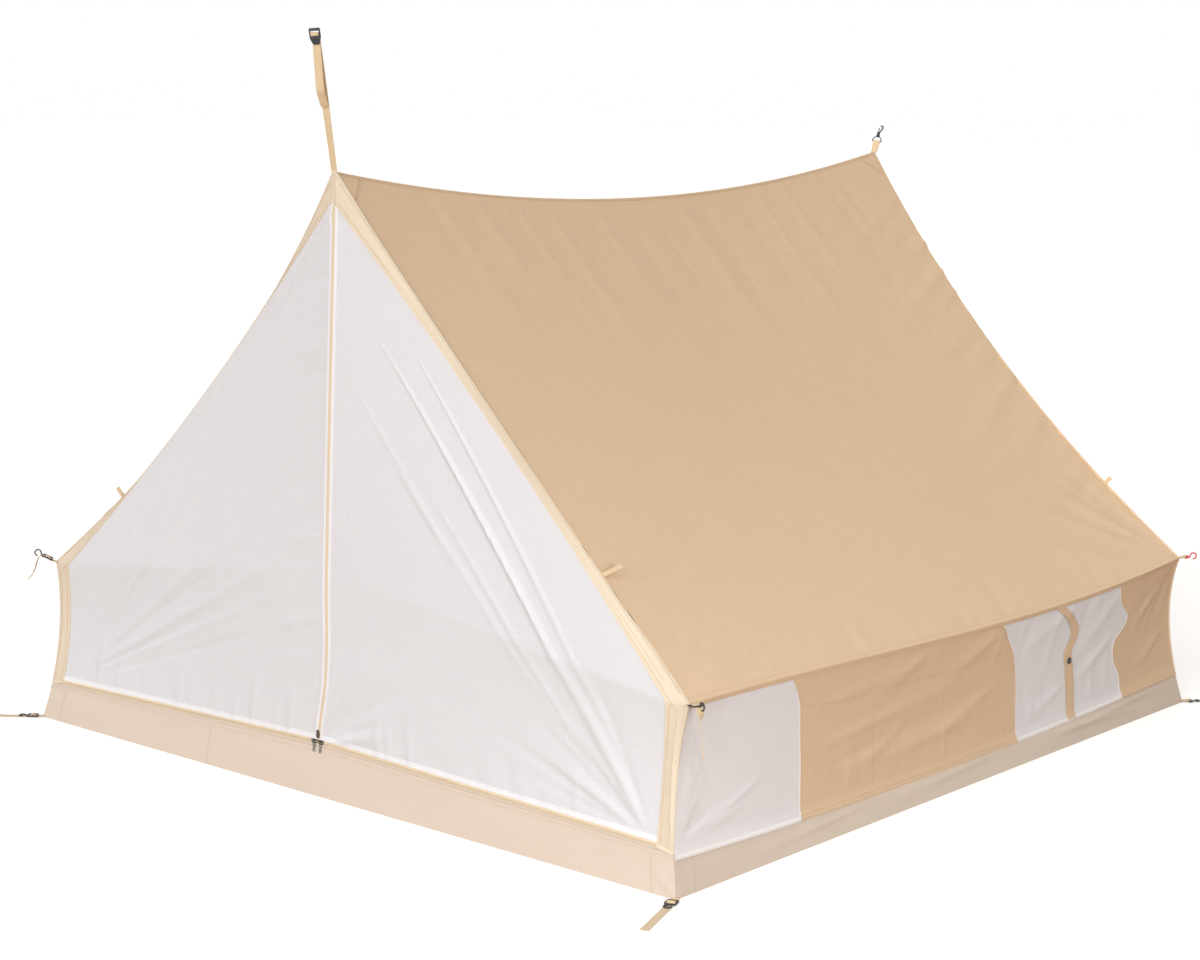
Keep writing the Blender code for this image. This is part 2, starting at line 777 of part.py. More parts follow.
def door_side_panels():
    """Fixed mesh between a door flap's fold and the binding, carried on up beside the top of the zip."""
    for name, side in SIDES:
        rows = CORNER_STEPS + GABLE_STEPS
        fold_rows = rows - 2
        foot, peak = edge_trim(side, FRONT)

        def place(across, up, side=side, rows=rows, fold_rows=fold_rows, foot=foot, peak=peak):
            outer = binding_inner(side, lerp(foot, 1 - peak, up))
            row = round(up * rows)
            if row <= fold_rows:
                x = lerp(FOLD_FOOT_X, FOLD_TOP[0], row / fold_rows)
                height = lerp(sill_height(FOLD_FOOT_X) + NECK_GAP + COIL_WIDTH, FOLD_TOP[1], row / fold_rows)
                inner = on_front(side * (x + FABRIC), height)
            else:
                share = row - fold_rows - 1
                height = lerp(FOLD_TOP[1] + FLAP_TOP_GAP, ZIP_TOP, share)
                inner = on_front(zip_x(height) + side * lerp(TOP_TAPE_GAP, NECK_GAP, share), height)
            edge = BINDING_GAP / (outer - inner).length
            return lerp(inner, outer, lerp(0.0, 1 - edge, across))

        cloth_panel(f"{name}_door_side_mesh", place, 3, rows, MESH_CLOTH)


def flap_outline(side, inset):
    """A door flap on the front plane, up the zip, down the fold and along the sill.

    Its parked corner is cut off, for the sliders.
    """
    edge = NECK_GAP + inset

    def zip_edge(height):
        return zip_x(height) + side * edge

    foot_x = ZIP_FOOT_X + side * PARKED_WIDTH
    low = sill_height(foot_x) + edge
    parked_top = SILL_MIDDLE + PARKED_HEIGHT
    fold_foot = side * (FOLD_FOOT_X - inset * 0.5)
    return [
        (foot_x, low),
        (zip_edge(parked_top), parked_top),
        (zip_edge(FOLD_TOP[1] - inset), FOLD_TOP[1] - inset),
        (side * (FOLD_TOP[0] - inset * 0.5), FOLD_TOP[1] - inset),
        (fold_foot, sill_height(fold_foot) + edge),
    ]


def door_flaps():
    """The two mesh flaps of the door, each with its half of the zip along its free edges."""
    fold = on_front(*FOLD_TOP)
    for name, side in SIDES:
        pivot = add_pivot(f"{name}_door_fold", Vector((side * fold.x, fold.y, fold.z)))
        cloth = flap_outline(side, COIL_WIDTH + SEAM_GAP)
        outline_solid(f"{name}_door_flap", [cloth], FABRIC, MESH_CLOTH, FRONT_PLANE, pivot)
        outer = flap_outline(side, 0.0)
        inner = flap_outline(side, COIL_WIDTH)
        strip = [*outer[4:], *outer[:3], *inner[2::-1], inner[4]]
        outline_solid(f"{name}_zip_coil", [strip], COIL_THICKNESS, COIL, FRONT_PLANE, pivot)


def sill_coil():
    """The tub's half of the sill zips, from binding to binding."""
    end = BINDING_FOOT_X - ZIP_TOP_HALF
    upper = [(x, sill_height(x) - NECK_GAP) for x in (-end, ZIP_FOOT_X, end)]
    lower = [(x, height - COIL_WIDTH) for x, height in upper]
    outline_solid("sill_zip_coil", [upper + lower[::-1]], COIL_THICKNESS, COIL, FRONT_PLANE)


def slider_solid(name, matrix, crown_side, turned_by):
    """A zip slider: two shield plates on a neck, and the crown that carries its pull.

    crown_side is 1 where the crown is outside.
    """
    lift = COIL_THICKNESS / 2 + FIT_GAP
    half = SLIDER_LENGTH / 2
    nose = SLIDER_WIDTH / 2
    shield = [
        (-half, -nose * 0.62), (-half * 0.35, -nose), (half * 0.55, -nose), (half, -nose * 0.7),
        (half, nose * 0.7), (half * 0.55, nose), (-half * 0.35, nose), (-half, nose * 0.62),
    ]
    spin = Matrix.Rotation(turned_by, 4, "Z")
    plates = [
        outline_solid(
            f"{name}_plate_{index}", [shield], SLIDER_PLATE, SLIDER_METAL,
            matrix @ spin @ Matrix.Translation((0, 0, face * (lift + SLIDER_PLATE / 2))),
        )
        for index, face in enumerate((1, -1))
    ]
    neck_start = -SLIDER_NECK_LENGTH / 2
    neck_shape = rounded_rectangle(SLIDER_NECK_LENGTH, SLIDER_NECK, SLIDER_NECK * 0.45, 2, neck_start)
    neck = outline_solid(name, [neck_shape], 2 * lift + SLIDER_PLATE, SLIDER_METAL, matrix @ spin)
    base = crown_side * (lift + SLIDER_PLATE)
    rise = crown_side * CROWN_RISE
    foot = base - crown_side * SLIDER_PLATE / 2
    one_side = ((1.0, foot), (1.0, base + rise * 0.6), (0.6, base + rise))
    crown_points = [(0, -CROWN_REACH * share, height) for share, height in one_side]
    crown_points += [(0, CROWN_REACH * share, height) for share, height in one_side[::-1]]
    crown = wire(f"{name}_crown", crown_points, CROWN_WIRE / 2, SLIDER_METAL, matrix, sides=1)
    return unite(neck, *plates, crown)


def pull_place(matrix, crown_side):
    """Middle of the pull's bar, under the crown."""
    lift = COIL_THICKNESS / 2 + FIT_GAP + SLIDER_PLATE
    return matrix @ Vector((0, 0, crown_side * (lift + CROWN_RISE * 0.5)))


def pull_solid(name, matrix, crown_side, parent):
    """A flat pull hanging from its bar, with the window that clears the crown and a hole at its foot."""
    bar = pull_place(matrix, crown_side)
    half_bar = PULL_BAR / 2
    neck = PULL_WIDTH / 2
    waist = PULL_WIDTH * 0.36
    foot = -PULL_LENGTH
    outside = [
        (neck, half_bar), (neck, -half_bar - PULL_WINDOW - 0.002), (waist, foot * 0.55),
        *arc((0, foot + neck), neck, 0, -180, 8),
        (-waist, foot * 0.55), (-neck, -half_bar - PULL_WINDOW - 0.002), (-neck, half_bar),
    ]
    window = [
        (neck - PULL_ARM, -half_bar), (-neck + PULL_ARM, -half_bar),
        (-neck + PULL_ARM, -half_bar - PULL_WINDOW), (neck - PULL_ARM, -half_bar - PULL_WINDOW),
    ]
    hole = arc((0, foot + neck), PULL_HOLE / 2, 0, 315, 7)
    place = Matrix.Translation(bar) @ FRONT_AXES.to_4x4()
    return outline_solid(name, [outside, window, hole], PULL_THICKNESS, PULL_METAL, place, parent)


def zip_sliders():
    """Three closed sliders meet at the foot of the centre zip. The centre one has its pull inside."""
    half = SLIDER_LENGTH / 2
    centre_height = SILL_MIDDLE + SLIDER_WIDTH / 2 + SLIDER_PARK_GAP + half
    places = (
        ("centre", zip_x(centre_height), centre_height, -1, math.pi / 2),
        ("left", ZIP_FOOT_X - half - SILL_PARK_GAP, None, 1, math.pi),
        ("right", ZIP_FOOT_X + half + SILL_PARK_GAP, None, 1, 0.0),
    )
    for name, x, height, crown_side, turned_by in places:
        height = height or sill_height(x)
        matrix = Matrix.Translation(on_front(x, height)) @ FRONT_AXES.to_4x4()
        pivot = add_pivot(f"{name}_slider_run", matrix.translation)
        hang_on(slider_solid(f"{name}_slider", matrix, crown_side, turned_by), pivot)
        swing = add_pivot(f"{name}_pull_swing", pull_place(matrix, crown_side))
        pull_solid(f"{name}_pull", matrix, crown_side, swing)


def rear_wall():
    """Plain cotton from the rear rim to the apex."""

    def edge(side, share):
        if share < 1 / 3:
            return corner_edge(side, REAR, share * 3)
        return gable_edge(side, REAR, (share - 1 / 3) * 1.5)

    def place(across, up):
        share = lerp(0.0, 1 - edge_trim(1, REAR)[1], up)
        left, right = edge(-1, share), edge(1, share)
        inset = PANEL_EDGE * 1.6 / (right - left).length
        point = lerp(left, right, lerp(inset, 1 - inset, across))
        lift = FOOT_GAP - RIM_SIDE_DIP * bow(across) / 2
        return point + lift * max(0.0, 1 - share * 3) * UP

    return cloth_panel("rear_wall", place, 8, CORNER_STEPS + GABLE_STEPS, WALL_COTTON)


# Ties

def hook_points(start, radius, mouth=35, steps=14):
    """A straight stem and an open ring whose mouth opens back towards the start on the lower side."""
    middle = (start + HOOK_STEM + radius, 0.0)
    ring = arc(middle, radius, 180, -180 + mouth + 40, steps)
    return [(start, 0.0), *ring]


def slot_outline(low, high, half_width):
    """Corners of a slot that runs from low to high in X."""
    return [(low, -half_width), (high, -half_width), (high, half_width), (low, half_width)]


def lock_hook(name, matrix, ring_flat, finish, parent):
    """A ladder-lock with three bars, and a wire hook on its outer end."""
    slot = (LOCK_LENGTH - 3 * LOCK_BAR) / 2
    inner_half = LOCK_WIDTH / 2 - LOCK_RAIL
    start = TIE_TAB_FRONT
    lows = (start + LOCK_BAR, start + slot + 2 * LOCK_BAR)
    slots = [slot_outline(low, low + slot, inner_half) for low in lows]
    outline = rounded_rectangle(LOCK_LENGTH, LOCK_WIDTH, LOCK_CORNER, 3, start)
    body = outline_solid(name, [outline, *slots], LOCK_THICKNESS, finish, flat_matrix(matrix))
    radius = HOOK_MOUTH + HOOK_WIRE / 2
    points = hook_points(start + LOCK_LENGTH - LOCK_BAR * 0.6, radius)
    hook_matrix = flat_matrix(matrix) if ring_flat else matrix
    hook = wire(f"{name}_wire", [(x, y, 0) for x, y in points], HOOK_WIRE / 2, finish, hook_matrix)
    hang_on(unite(body, hook), parent)


def lug_hook(name, matrix, ring_flat, finish, parent):
    """A plain hook with a slotted lug that the webbing is looped through."""
    start = TIE_TAB_REAR - LOCK_BAR
    inner_half = WEBBING_WIDTH / 2 + 0.0012
    outer_half = inner_half + LOCK_RAIL
    slot = slot_outline(start + LOCK_BAR, start + LUG_LENGTH - LOCK_BAR, inner_half)
    outline = rounded_rectangle(LUG_LENGTH, 2 * outer_half, LUG_CORNER, 3, start)
    lug = outline_solid(name, [outline, slot], LOCK_THICKNESS, finish, flat_matrix(matrix))
    points = hook_points(start + LUG_LENGTH - LOCK_BAR * 0.6, HOOK_MOUTH + HOOK_WIRE / 2)
    hook_matrix = flat_matrix(matrix) if ring_flat else matrix
    hook = wire(f"{name}_wire", [(x, y, 0) for x, y in points], HOOK_WIRE / 2, finish, hook_matrix)
    hang_on(unite(lug, hook), parent)


def woven_path(tail):
    """A strap's way under, over and under a ladder-lock's bars, seen from its edge, and then its tail."""
    clear = LOCK_THICKNESS / 2 + FIT_GAP + WEBBING / 2
    slot = (LOCK_LENGTH - 3 * LOCK_BAR) / 2
    first_end = TIE_TAB_FRONT + LOCK_BAR
    middle_start = first_end + slot
    middle_end = middle_start + LOCK_BAR
    last_start = middle_end + slot
    slack = 0.0008
    return [
        (TIE_ROOT_GAP, -clear * 0.4), (TIE_TAB_FRONT - 0.003, -clear), (first_end + slack, -clear),
        (middle_start - slack, clear), (middle_end + slack, clear), (last_start - slack, -clear),
        (TIE_TAB_FRONT + LOCK_LENGTH + 0.001, -clear), *tail,
    ]


def looped_path():
    """A short strap through a lug and back on itself."""
    clear = math.hypot(LOCK_THICKNESS / 2, LOCK_BAR / 2) + FIT_GAP + WEBBING / 2
    leg = WEBBING / 2 + FIT_GAP / 2
    middle = TIE_TAB_REAR - LOCK_BAR / 2
    together = (middle + TIE_ROOT_GAP) / 2
    turn = arc((middle, 0), clear, -90, 90, 6)
    return [(TIE_ROOT_GAP, -leg), (together, -leg), *turn, (together, leg), (TIE_ROOT_GAP, leg)]


def strap_solid(name, path, matrix, parent, width=WEBBING_WIDTH):
    return outline_solid(name, [ribbon_outline(path, WEBBING)], width, STRAP, matrix, parent)


def twisted_strap(name, path, matrix, parent, span, twist, head_width=WEBBING_WIDTH):
    """A strap along a path in X and Y.

    It turns about X by twist degrees over its first span, and may widen there.
    """

    def place(across, up):
        x, y = path[round(up * (len(path) - 1))]
        share = min(x / span, 1.0)
        reach = (across - 0.5) * lerp(WEBBING_WIDTH, head_width, share)
        turn = Matrix.Rotation(math.radians(twist) * share, 4, "X")
        return matrix @ turn @ Vector((x, y, reach))

    return cloth_panel(name, place, 2, len(path) - 1, STRAP, thickness=WEBBING, parent=parent)


def evenly(start, end, steps):
    """Points on a straight run, without its last."""
    return [tuple(lerp(Vector(start), Vector(end), step / steps)) for step in range(steps)]


def tie_matrix(corner, heading, climb):
    """A frame at a corner with X outwards along the tie. heading and climb are in degrees."""
    level = Vector((math.cos(math.radians(heading)), math.sin(math.radians(heading)), 0))
    rise = math.radians(climb)
    forward = level * math.cos(rise) + UP * math.sin(rise)
    up = UP * math.cos(rise) - level * math.sin(rise)
    return frame_matrix(corner, forward, up)


def eave_tail(length):
    """The loose end drops from the ladder-lock, in its strap's frame."""
    start = TIE_TAB_FRONT + LOCK_LENGTH + 0.001
    clear = LOCK_THICKNESS / 2 + FIT_GAP + WEBBING / 2
    return [
        (start + 0.004, -clear - 0.003),
        (start + 0.006, -clear - 0.009),
        (start + 0.0055, -clear - 0.024),
        (start + 0.003, -clear - 0.040),
        (start + 0.004, -clear - length * 0.8),
        (start + 0.009, -clear - length),
    ]


def base_tail(length):
    """The loose end lies on the ground past its hook."""
    start = TIE_TAB_FRONT + LOCK_LENGTH + 0.001
    clear = LOCK_THICKNESS / 2 + FIT_GAP + WEBBING / 2
    return [(start + length * 0.5, -clear), (start + length, -clear)]


def corner_ties():
    """Webbing and hooks at the eave and floor corners. Each swings where its webbing leaves the seam."""
    for name, side, end, heading, climb, tail in EAVE_TIES:
        matrix = tie_matrix(eave_corner(side, end), heading, climb)
        pivot = add_pivot(f"{name}_tie", matrix.translation)
        if end == FRONT:
            strap_solid(f"{name}_strap", woven_path(eave_tail(tail)), matrix, pivot)
            lock_hook(f"{name}_hook", matrix, False, ACETAL, pivot)
        else:
            strap_solid(f"{name}_strap", looped_path(), matrix, pivot)
            lug_hook(f"{name}_hook", matrix, False, RED_ACETAL, pivot)
    for name, side, end, heading, climb, tail in BASE_TIES:
        rise = LOCK_THICKNESS / 2 + FIT_GAP + WEBBING + GROUND_GAP
        matrix = tie_matrix(base_corner(side, end) + UP * rise, heading, climb)
        pivot = add_pivot(f"{name}_tie", matrix.translation)
        if end == FRONT:
            strap_solid(f"{name}_strap", woven_path(base_tail(tail)), matrix, pivot)
            lock_hook(f"{name}_hook", matrix, True, ACETAL, pivot)
        else:
            strap_solid(f"{name}_strap", looped_path(), matrix, pivot)
            lug_hook(f"{name}_hook", matrix, True, ACETAL, pivot)


def ridge_hanger():
    """The webbing that holds up the front of the ridge.

    It goes up behind the ladder-lock, forwards over its middle bar and back behind its foot.
    The loose end hangs in front.
    """
    lean = math.radians(HANGER_LEAN)
    forward = Vector((0, -math.sin(lean), math.cos(lean)))
    outward = Vector((0, -math.cos(lean), -math.sin(lean)))
    base = frame_matrix(apex(FRONT), forward, outward)
    swing = add_pivot("ridge_hanger_swing", base.translation)
    turned_base = base @ Matrix.Rotation(math.radians(HANGER_TWIST), 4, "X")

    foot_top = HANGER_LENGTH + RIDGE_LOCK_FOOT
    bar_foot = foot_top + RIDGE_LOCK_SLOT
    bar_top = bar_foot + RIDGE_LOCK_BAR
    window_top = bar_top + RIDGE_LOCK_WINDOW
    middle = (bar_foot + bar_top) / 2
    half_bar = RIDGE_LOCK_BAR / 2
    near = LOCK_THICKNESS / 2 + FIT_GAP + WEBBING / 2 + 0.0001
    far = near + WEBBING + FIT_GAP
    over = bar_top + FIT_GAP + WEBBING / 2 + 0.0005
    standing = [
        *evenly((TIE_ROOT_GAP, 0), (HANGER_LENGTH - 0.020, -far), 8),
        (HANGER_LENGTH - 0.020, -far), (foot_top, -far), (middle, -far),
        (over, -near - 0.0002), (over, -FIT_GAP / 2),
    ]
    twisted_strap("ridge_strap", standing, base, swing, HANGER_LENGTH - 0.020, HANGER_TWIST)

    lock_run = add_pivot("ridge_lock_run", turned_base @ Vector((HANGER_LENGTH, 0, 0)))
    inner_half = RIDGE_LOCK_WIDTH / 2 - LOCK_RAIL
    half = RIDGE_LOCK_WIDTH / 2
    narrow = half * 0.62
    top = window_top + RIDGE_LOCK_TOP
    one_side = [
        (HANGER_LENGTH, narrow - 0.003),
        (HANGER_LENGTH + 0.002, narrow),
        (HANGER_LENGTH + 0.010, half * 0.86),
        (foot_top - 0.002, half),
        (top - 0.002, half),
        (top, half - 0.002),
    ]
    plate = one_side + [(x, -y) for x, y in one_side[::-1]]
    slots = [slot_outline(foot_top, bar_foot, inner_half), slot_outline(bar_top, window_top, inner_half)]
    outline_solid("ridge_lock", [plate, *slots], LOCK_THICKNESS, ACETAL, flat_matrix(turned_base), lock_run)

    slot_middle = foot_top + RIDGE_LOCK_SLOT / 2
    loose = [
        (over, FIT_GAP),
        (over - 0.0005, near - 0.0004),
        (bar_top - 0.0006, near),
        (bar_foot + 0.0004, near),
        (slot_middle + 0.0006, near - 0.0006),
        (slot_middle, 0),
        (slot_middle - 0.0008, -near + 0.0004),
        (slot_middle - 0.0024, -near),
        (HANGER_LENGTH - 0.001, -near),
        (HANGER_LENGTH - 0.010, -near + 0.0030),
        (HANGER_LENGTH - 0.045, 0.006),
        (HANGER_LENGTH - 0.100, 0.016),
        (HANGER_LENGTH - HANGER_TAIL * 0.82, 0.012),
        (HANGER_LENGTH - HANGER_TAIL, 0.002),
    ]
    twisted_strap("ridge_strap_tail", loose, turned_base, lock_run, HANGER_LENGTH, 0.0)


def snap_hook():
    """A swivelling snap hook in a tab at the rear of the ridge. Its post turns in the eye's collar."""
    lean = math.radians(REAR_TAB_LEAN)
    forward = Vector((0, math.sin(lean), math.cos(lean)))
    outward = Vector((0, -math.cos(lean), math.sin(lean)))
    base = frame_matrix(apex(REAR), forward, outward)
    matrix = base @ Matrix.Rotation(math.radians(REAR_TAB_TWIST), 4, "X")
    clear = SNAP_WIRE / 2 + FIT_GAP + WEBBING / 2
    leg = WEBBING / 2 + FIT_GAP / 2
    legs_end = (REAR_TAB - 0.006, -leg)
    near_leg = [*evenly((TIE_ROOT_GAP, -leg), legs_end, 3), legs_end]
    loop = [*near_leg, *arc((REAR_TAB, 0), clear, -75, 75, 6), *[(x, -y) for x, y in near_leg[::-1]]]
    twisted_strap("rear_ridge_tab", loop, base, None, legs_end[0], REAR_TAB_TWIST, head_width=REAR_TAB_WIDTH)

    flat = flat_matrix(matrix)
    upright = matrix @ Matrix.Rotation(math.pi / 2, 4, "Y")
    half = SNAP_EYE_WIDTH / 2 - SNAP_WIRE / 2
    collar = REAR_TAB + SNAP_EYE_HEIGHT
    shoulder = SNAP_COLLAR_RADIUS * 0.75
    one_side = [
        (REAR_TAB, half - 0.0020), (REAR_TAB + 0.0010, half - 0.0006), (REAR_TAB + 0.0035, half),
        (REAR_TAB + 0.0070, half - 0.0015), (collar + 0.0002, shoulder),
    ]
    ring = [(x, y, 0) for x, y in one_side] + [(x, -y, 0) for x, y in one_side[::-1]]
    eye_swing = add_pivot("snap_eye_swing", matrix @ Vector((REAR_TAB, 0, 0)))
    collar_top = collar + SNAP_COLLAR_HEIGHT / 2
    collar_foot = collar - SNAP_COLLAR_HEIGHT / 2
    sleeve_profile = ((SNAP_COLLAR_RADIUS, collar_top), (SNAP_COLLAR_RADIUS, collar_foot))
    sleeve = turned("snap_eye", sleeve_profile, upright, ACETAL, 16)
    eye = unite(sleeve, wire("snap_eye_wire", ring, SNAP_WIRE / 2, ACETAL, flat, closed=True))
    bore_radius = SNAP_POST_RADIUS + FIT_GAP
    bore_profile = ((bore_radius, collar_top + 0.004), (bore_radius, collar_foot - 0.004))
    eye = cut_away(eye, turned("snap_bore", bore_profile, upright, ACETAL, 16))
    hang_on(eye, eye_swing)

    swivel = add_pivot("snap_swivel", matrix @ Vector((collar, 0, 0)))
    body_foot = collar_top + FIT_GAP
    body_top = body_foot + SNAP_BARREL_LENGTH
    knob_top = collar_foot - FIT_GAP
    profile = (
        (SNAP_BARREL_RADIUS * 0.7, body_top),
        (SNAP_BARREL_RADIUS, body_top - 0.003),
        (SNAP_BARREL_RADIUS, body_foot + 0.001),
        (SNAP_BARREL_RADIUS * 0.85, body_foot),
        (SNAP_POST_RADIUS, body_foot),
        (SNAP_POST_RADIUS, knob_top),
        (SNAP_KNOB_RADIUS, knob_top),
        (SNAP_KNOB_RADIUS, knob_top - SNAP_KNOB_HEIGHT * 0.6),
        (SNAP_KNOB_RADIUS * 0.6, knob_top - SNAP_KNOB_HEIGHT),
    )
    barrel = turned("snap_hook", profile, upright, ACETAL, 16)
    crook_middle = (body_top + SNAP_HOOK_RISE - SNAP_HOOK_RADIUS, SNAP_HOOK_REACH - SNAP_HOOK_RADIUS)
    crook = arc(crook_middle, SNAP_HOOK_RADIUS, 90, -60, 8)
    stem = [
        (body_top - 0.004, 0.0012), (body_top + 0.002, SNAP_HOOK_REACH * 0.45),
        (body_top + 0.008, SNAP_HOOK_REACH * 0.88),
    ]
    spine = [(x, y, 0) for x, y in (*stem, *crook)]
    hook = unite(barrel, wire("snap_hook_wire", spine, SNAP_STEM_WIRE / 2, ACETAL, flat))
    hang_on(hook, swivel)

    gate_foot = (body_top + SNAP_GATE_WIRE / 2 + FIT_GAP, -SNAP_BARREL_RADIUS * 0.55, 0)
    tip = crook[-1]
    gate_head = (tip[0] - SNAP_STEM_WIRE / 2 - SNAP_GATE_WIRE / 2 - FIT_GAP, tip[1] - 0.0015, 0)
    gate_swing = add_pivot("snap_gate_swing", flat @ Vector(gate_foot))
    wire("snap_gate", [gate_foot, gate_head], SNAP_GATE_WIRE / 2, ACETAL, flat, gate_swing)


def roof_tapes():
    """Short folded tapes in the gable seams, for tying the roof out."""
    leg = WEBBING / 2 + FIT_GAP / 2
    for name, side, end, up, reach, direction in ROOF_TAPES:
        edge = gable_edge(side, end, up)
        seam_run = gable_edge(side, end, up + 0.01) - edge
        forward = Vector(direction).normalized()
        normal = seam_run.cross(forward)
        matrix = frame_matrix(edge + TAPE_LIFT * UP, forward, normal if normal.z > 0 else -normal)
        turn = arc((reach - leg, 0), leg, -60, 60, 2)
        path = [(TAPE_ROOT_GAP, -leg), (reach * 0.6, -leg), *turn, (reach * 0.6, leg), (TAPE_ROOT_GAP, leg)]
        strap_solid(f"{name}_roof_tape", path, matrix, None, width=TAPE_WIDTH)


def main():
    tub_floor()
    roof_panels()
    side_walls()
    front_bindings()
    door_side_panels()
    door_flaps()
    sill_coil()
    zip_sliders()
    rear_wall()
    corner_ties()
    ridge_hanger()
    snap_hook()
    roof_tapes()


main()
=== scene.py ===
"""Cabin tent, dressed: cotton and net panels, zips, webbing, hooks, stitching, and a plain studio around them.

Metres, +Z up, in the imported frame. The door looks along -Y and the ridge runs along Y.
"""

import json
import math
import random

import bpy
import numpy as np
from mathutils import Matrix, Vector


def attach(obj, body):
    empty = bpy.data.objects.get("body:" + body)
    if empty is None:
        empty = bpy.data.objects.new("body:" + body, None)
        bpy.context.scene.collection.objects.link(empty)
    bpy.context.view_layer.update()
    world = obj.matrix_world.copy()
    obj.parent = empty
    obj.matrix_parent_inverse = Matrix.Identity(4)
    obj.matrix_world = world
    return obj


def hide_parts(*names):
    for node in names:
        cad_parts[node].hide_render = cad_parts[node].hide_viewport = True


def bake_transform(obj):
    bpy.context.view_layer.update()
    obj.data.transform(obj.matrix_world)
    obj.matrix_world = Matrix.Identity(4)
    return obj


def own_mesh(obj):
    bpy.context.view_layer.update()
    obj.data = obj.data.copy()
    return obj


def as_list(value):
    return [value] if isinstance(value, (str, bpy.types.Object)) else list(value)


bl_info = {
    "name": "Cabin tent",
    "version": (1, 0, 0),
    "blender": (4, 5, 0),
    "location": "3D View > Sidebar > Tent",
    "description": "Makes a hung cabin tent of cotton and net, with its zips, webbing and hooks",
    "category": "Add Mesh",
}

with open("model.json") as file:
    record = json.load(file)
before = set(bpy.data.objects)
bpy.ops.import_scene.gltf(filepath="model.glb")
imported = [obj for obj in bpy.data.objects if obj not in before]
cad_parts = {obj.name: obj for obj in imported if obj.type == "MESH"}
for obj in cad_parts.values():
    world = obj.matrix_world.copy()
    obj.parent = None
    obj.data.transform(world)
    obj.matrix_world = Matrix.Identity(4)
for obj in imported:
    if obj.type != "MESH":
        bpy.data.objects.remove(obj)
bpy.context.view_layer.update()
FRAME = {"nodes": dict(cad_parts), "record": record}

# The cut of the tent, as the solids have it
FLOOR_WIDTH = 2.200
FLOOR_LENGTH = 2.330
RIDGE_HEIGHT = 1.523
EAVE_HEIGHT = 0.427
TUB_HEIGHT = 0.098
TUB_LEAN_SIDE = 0.023
TUB_LEAN_END = 0.018
EAVE_IN_SIDE = 0.012
EAVE_IN_END = 0.048
RIDGE_IN_END = 0.038
RIDGE_SAG = 0.100
EAVE_SAG = 0.042
EAVE_SAG_REARWARD = 0.7
EAVE_TUCK = 0.035
GABLE_DIP = 0.046
GABLE_TUCK = 0.050
CORNER_TUCK = 0.009
CORNER_PULL = {-1: 0.004, 1: 0.011}
CORNER_PULL_LOWER = 0.35
CORNER_PULL_REACH = 0.09
GABLE_HOLD = {(1, -1): 0.5}
GABLE_HOLD_USUAL = 0.1
GABLE_HOLD_REACH = 0.18
GABLE_HEM = 0.0044
RIDGE_SEAM = 0.0046
RIDGE_SHADE = 0.0060
EAVE_BAND = (0.9995, 0.991)
ROOF_GRID_FORWARD = 0.78
RIM_SIDE_DIP = 0.032
RIM_SIDE_TUCK = 0.012
SILL_RISE = 0.0275
BINDING_FOOT = 0.046
BINDING_EAVE_IN = 0.058
BINDING_EAVE_BACK = 0.017
BINDING_EAVE_DROP = 0.002
BINDING_APEX_DROP = 0.081
BINDING_INNER_TUCK = 0.036
BINDING_INNER_DIP = 0.006
BINDING_CORNER_TUCK = 0.012
BINDING_UPRIGHT_TUCK = 0.0045
BINDING_CREASE = 0.0055
BINDING_SWELL = 0.0012
BINDING_LOW = {-1: -0.0035, 1: -0.005}
APEX_PATCH_RIDGE = 0.033
APEX_PATCH_GABLE = 0.052
PEAK_OPEN = {-1: (-0.0090, 0.0115), 1: (0.0040, 0.0030)}
ZIP_FOOT_X = -0.038
COIL_ABOVE_RIM = 0.0075
FOLD_TOP = (0.030, RIDGE_HEIGHT - 0.151)
FOLD_FOOT_IN = 0.120
SILL_MIDDLE = TUB_HEIGHT + SILL_RISE + COIL_ABOVE_RIM
SILL_END = TUB_HEIGHT + COIL_ABOVE_RIM
SILL_HALF = FLOOR_WIDTH / 2 - TUB_LEAN_SIDE
ZIP_TOP = RIDGE_HEIGHT - BINDING_APEX_DROP - 0.004
SLOPE = 1.50

# Rolled seams: width and height of each, and how much higher the front ones are folded at the peak
EAVE_ROLL = (0.0056, 0.0050)
GABLE_ROLL = (0.0042, 0.0034)
CORNER_ROLL = (0.0052, 0.0044)
PEAK_ROLL_RISE = 0.0060

# Seams of the side walls: share of the way up, and place along the tent
FRONT_MESH_REAR = ((0.0, -0.655), (0.32, -0.655), (0.77, -0.672), (0.88, -0.689), (1.0, -0.721))
WINDOW_FRONT = (
    (0.0, 0.293), (0.13, 0.301), (0.36, 0.310), (0.53, 0.311), (0.69, 0.300), (0.83, 0.270), (0.95, 0.247),
    (1.0, 0.215),
)
WINDOW_REAR = (
    (0.0, 0.835), (0.16, 0.838), (0.30, 0.813), (0.42, 0.812), (0.50, 0.826), (0.55, 0.868), (0.64, 0.894),
    (0.70, 0.885), (0.82, 0.844), (1.0, 0.829),
)
BAND_MIDDLE = (
    (0.0, 0.566), (0.25, 0.578), (0.44, 0.578), (0.57, 0.570), (0.655, 0.598), (0.74, 0.609), (0.85, 0.582),
    (1.0, 0.514),
)
WALL_HALF = FLOOR_LENGTH / 2 - (TUB_LEAN_END + EAVE_IN_END) / 2
WALL_FRONT = ((0.0, -WALL_HALF), (1.0, -WALL_HALF))
WALL_REAR = ((0.0, WALL_HALF), (1.0, WALL_HALF))
WALL_RISE = EAVE_HEIGHT - TUB_HEIGHT
WALL_OVERLAP = 0.016
WALL_HEM = 0.013
WALL_FOOT = -WALL_OVERLAP / WALL_RISE
WALL_FOOT_LEAN = 0.27
WALL_FOOT_STEP = 0.0020
WALL_TOP = 0.998
WALL_SEAM_TOP = 0.992
WALL_SEAM_HALF = 0.0010
NET_HEM = 0.0022
FRONT_NET_INSET = 0.0008
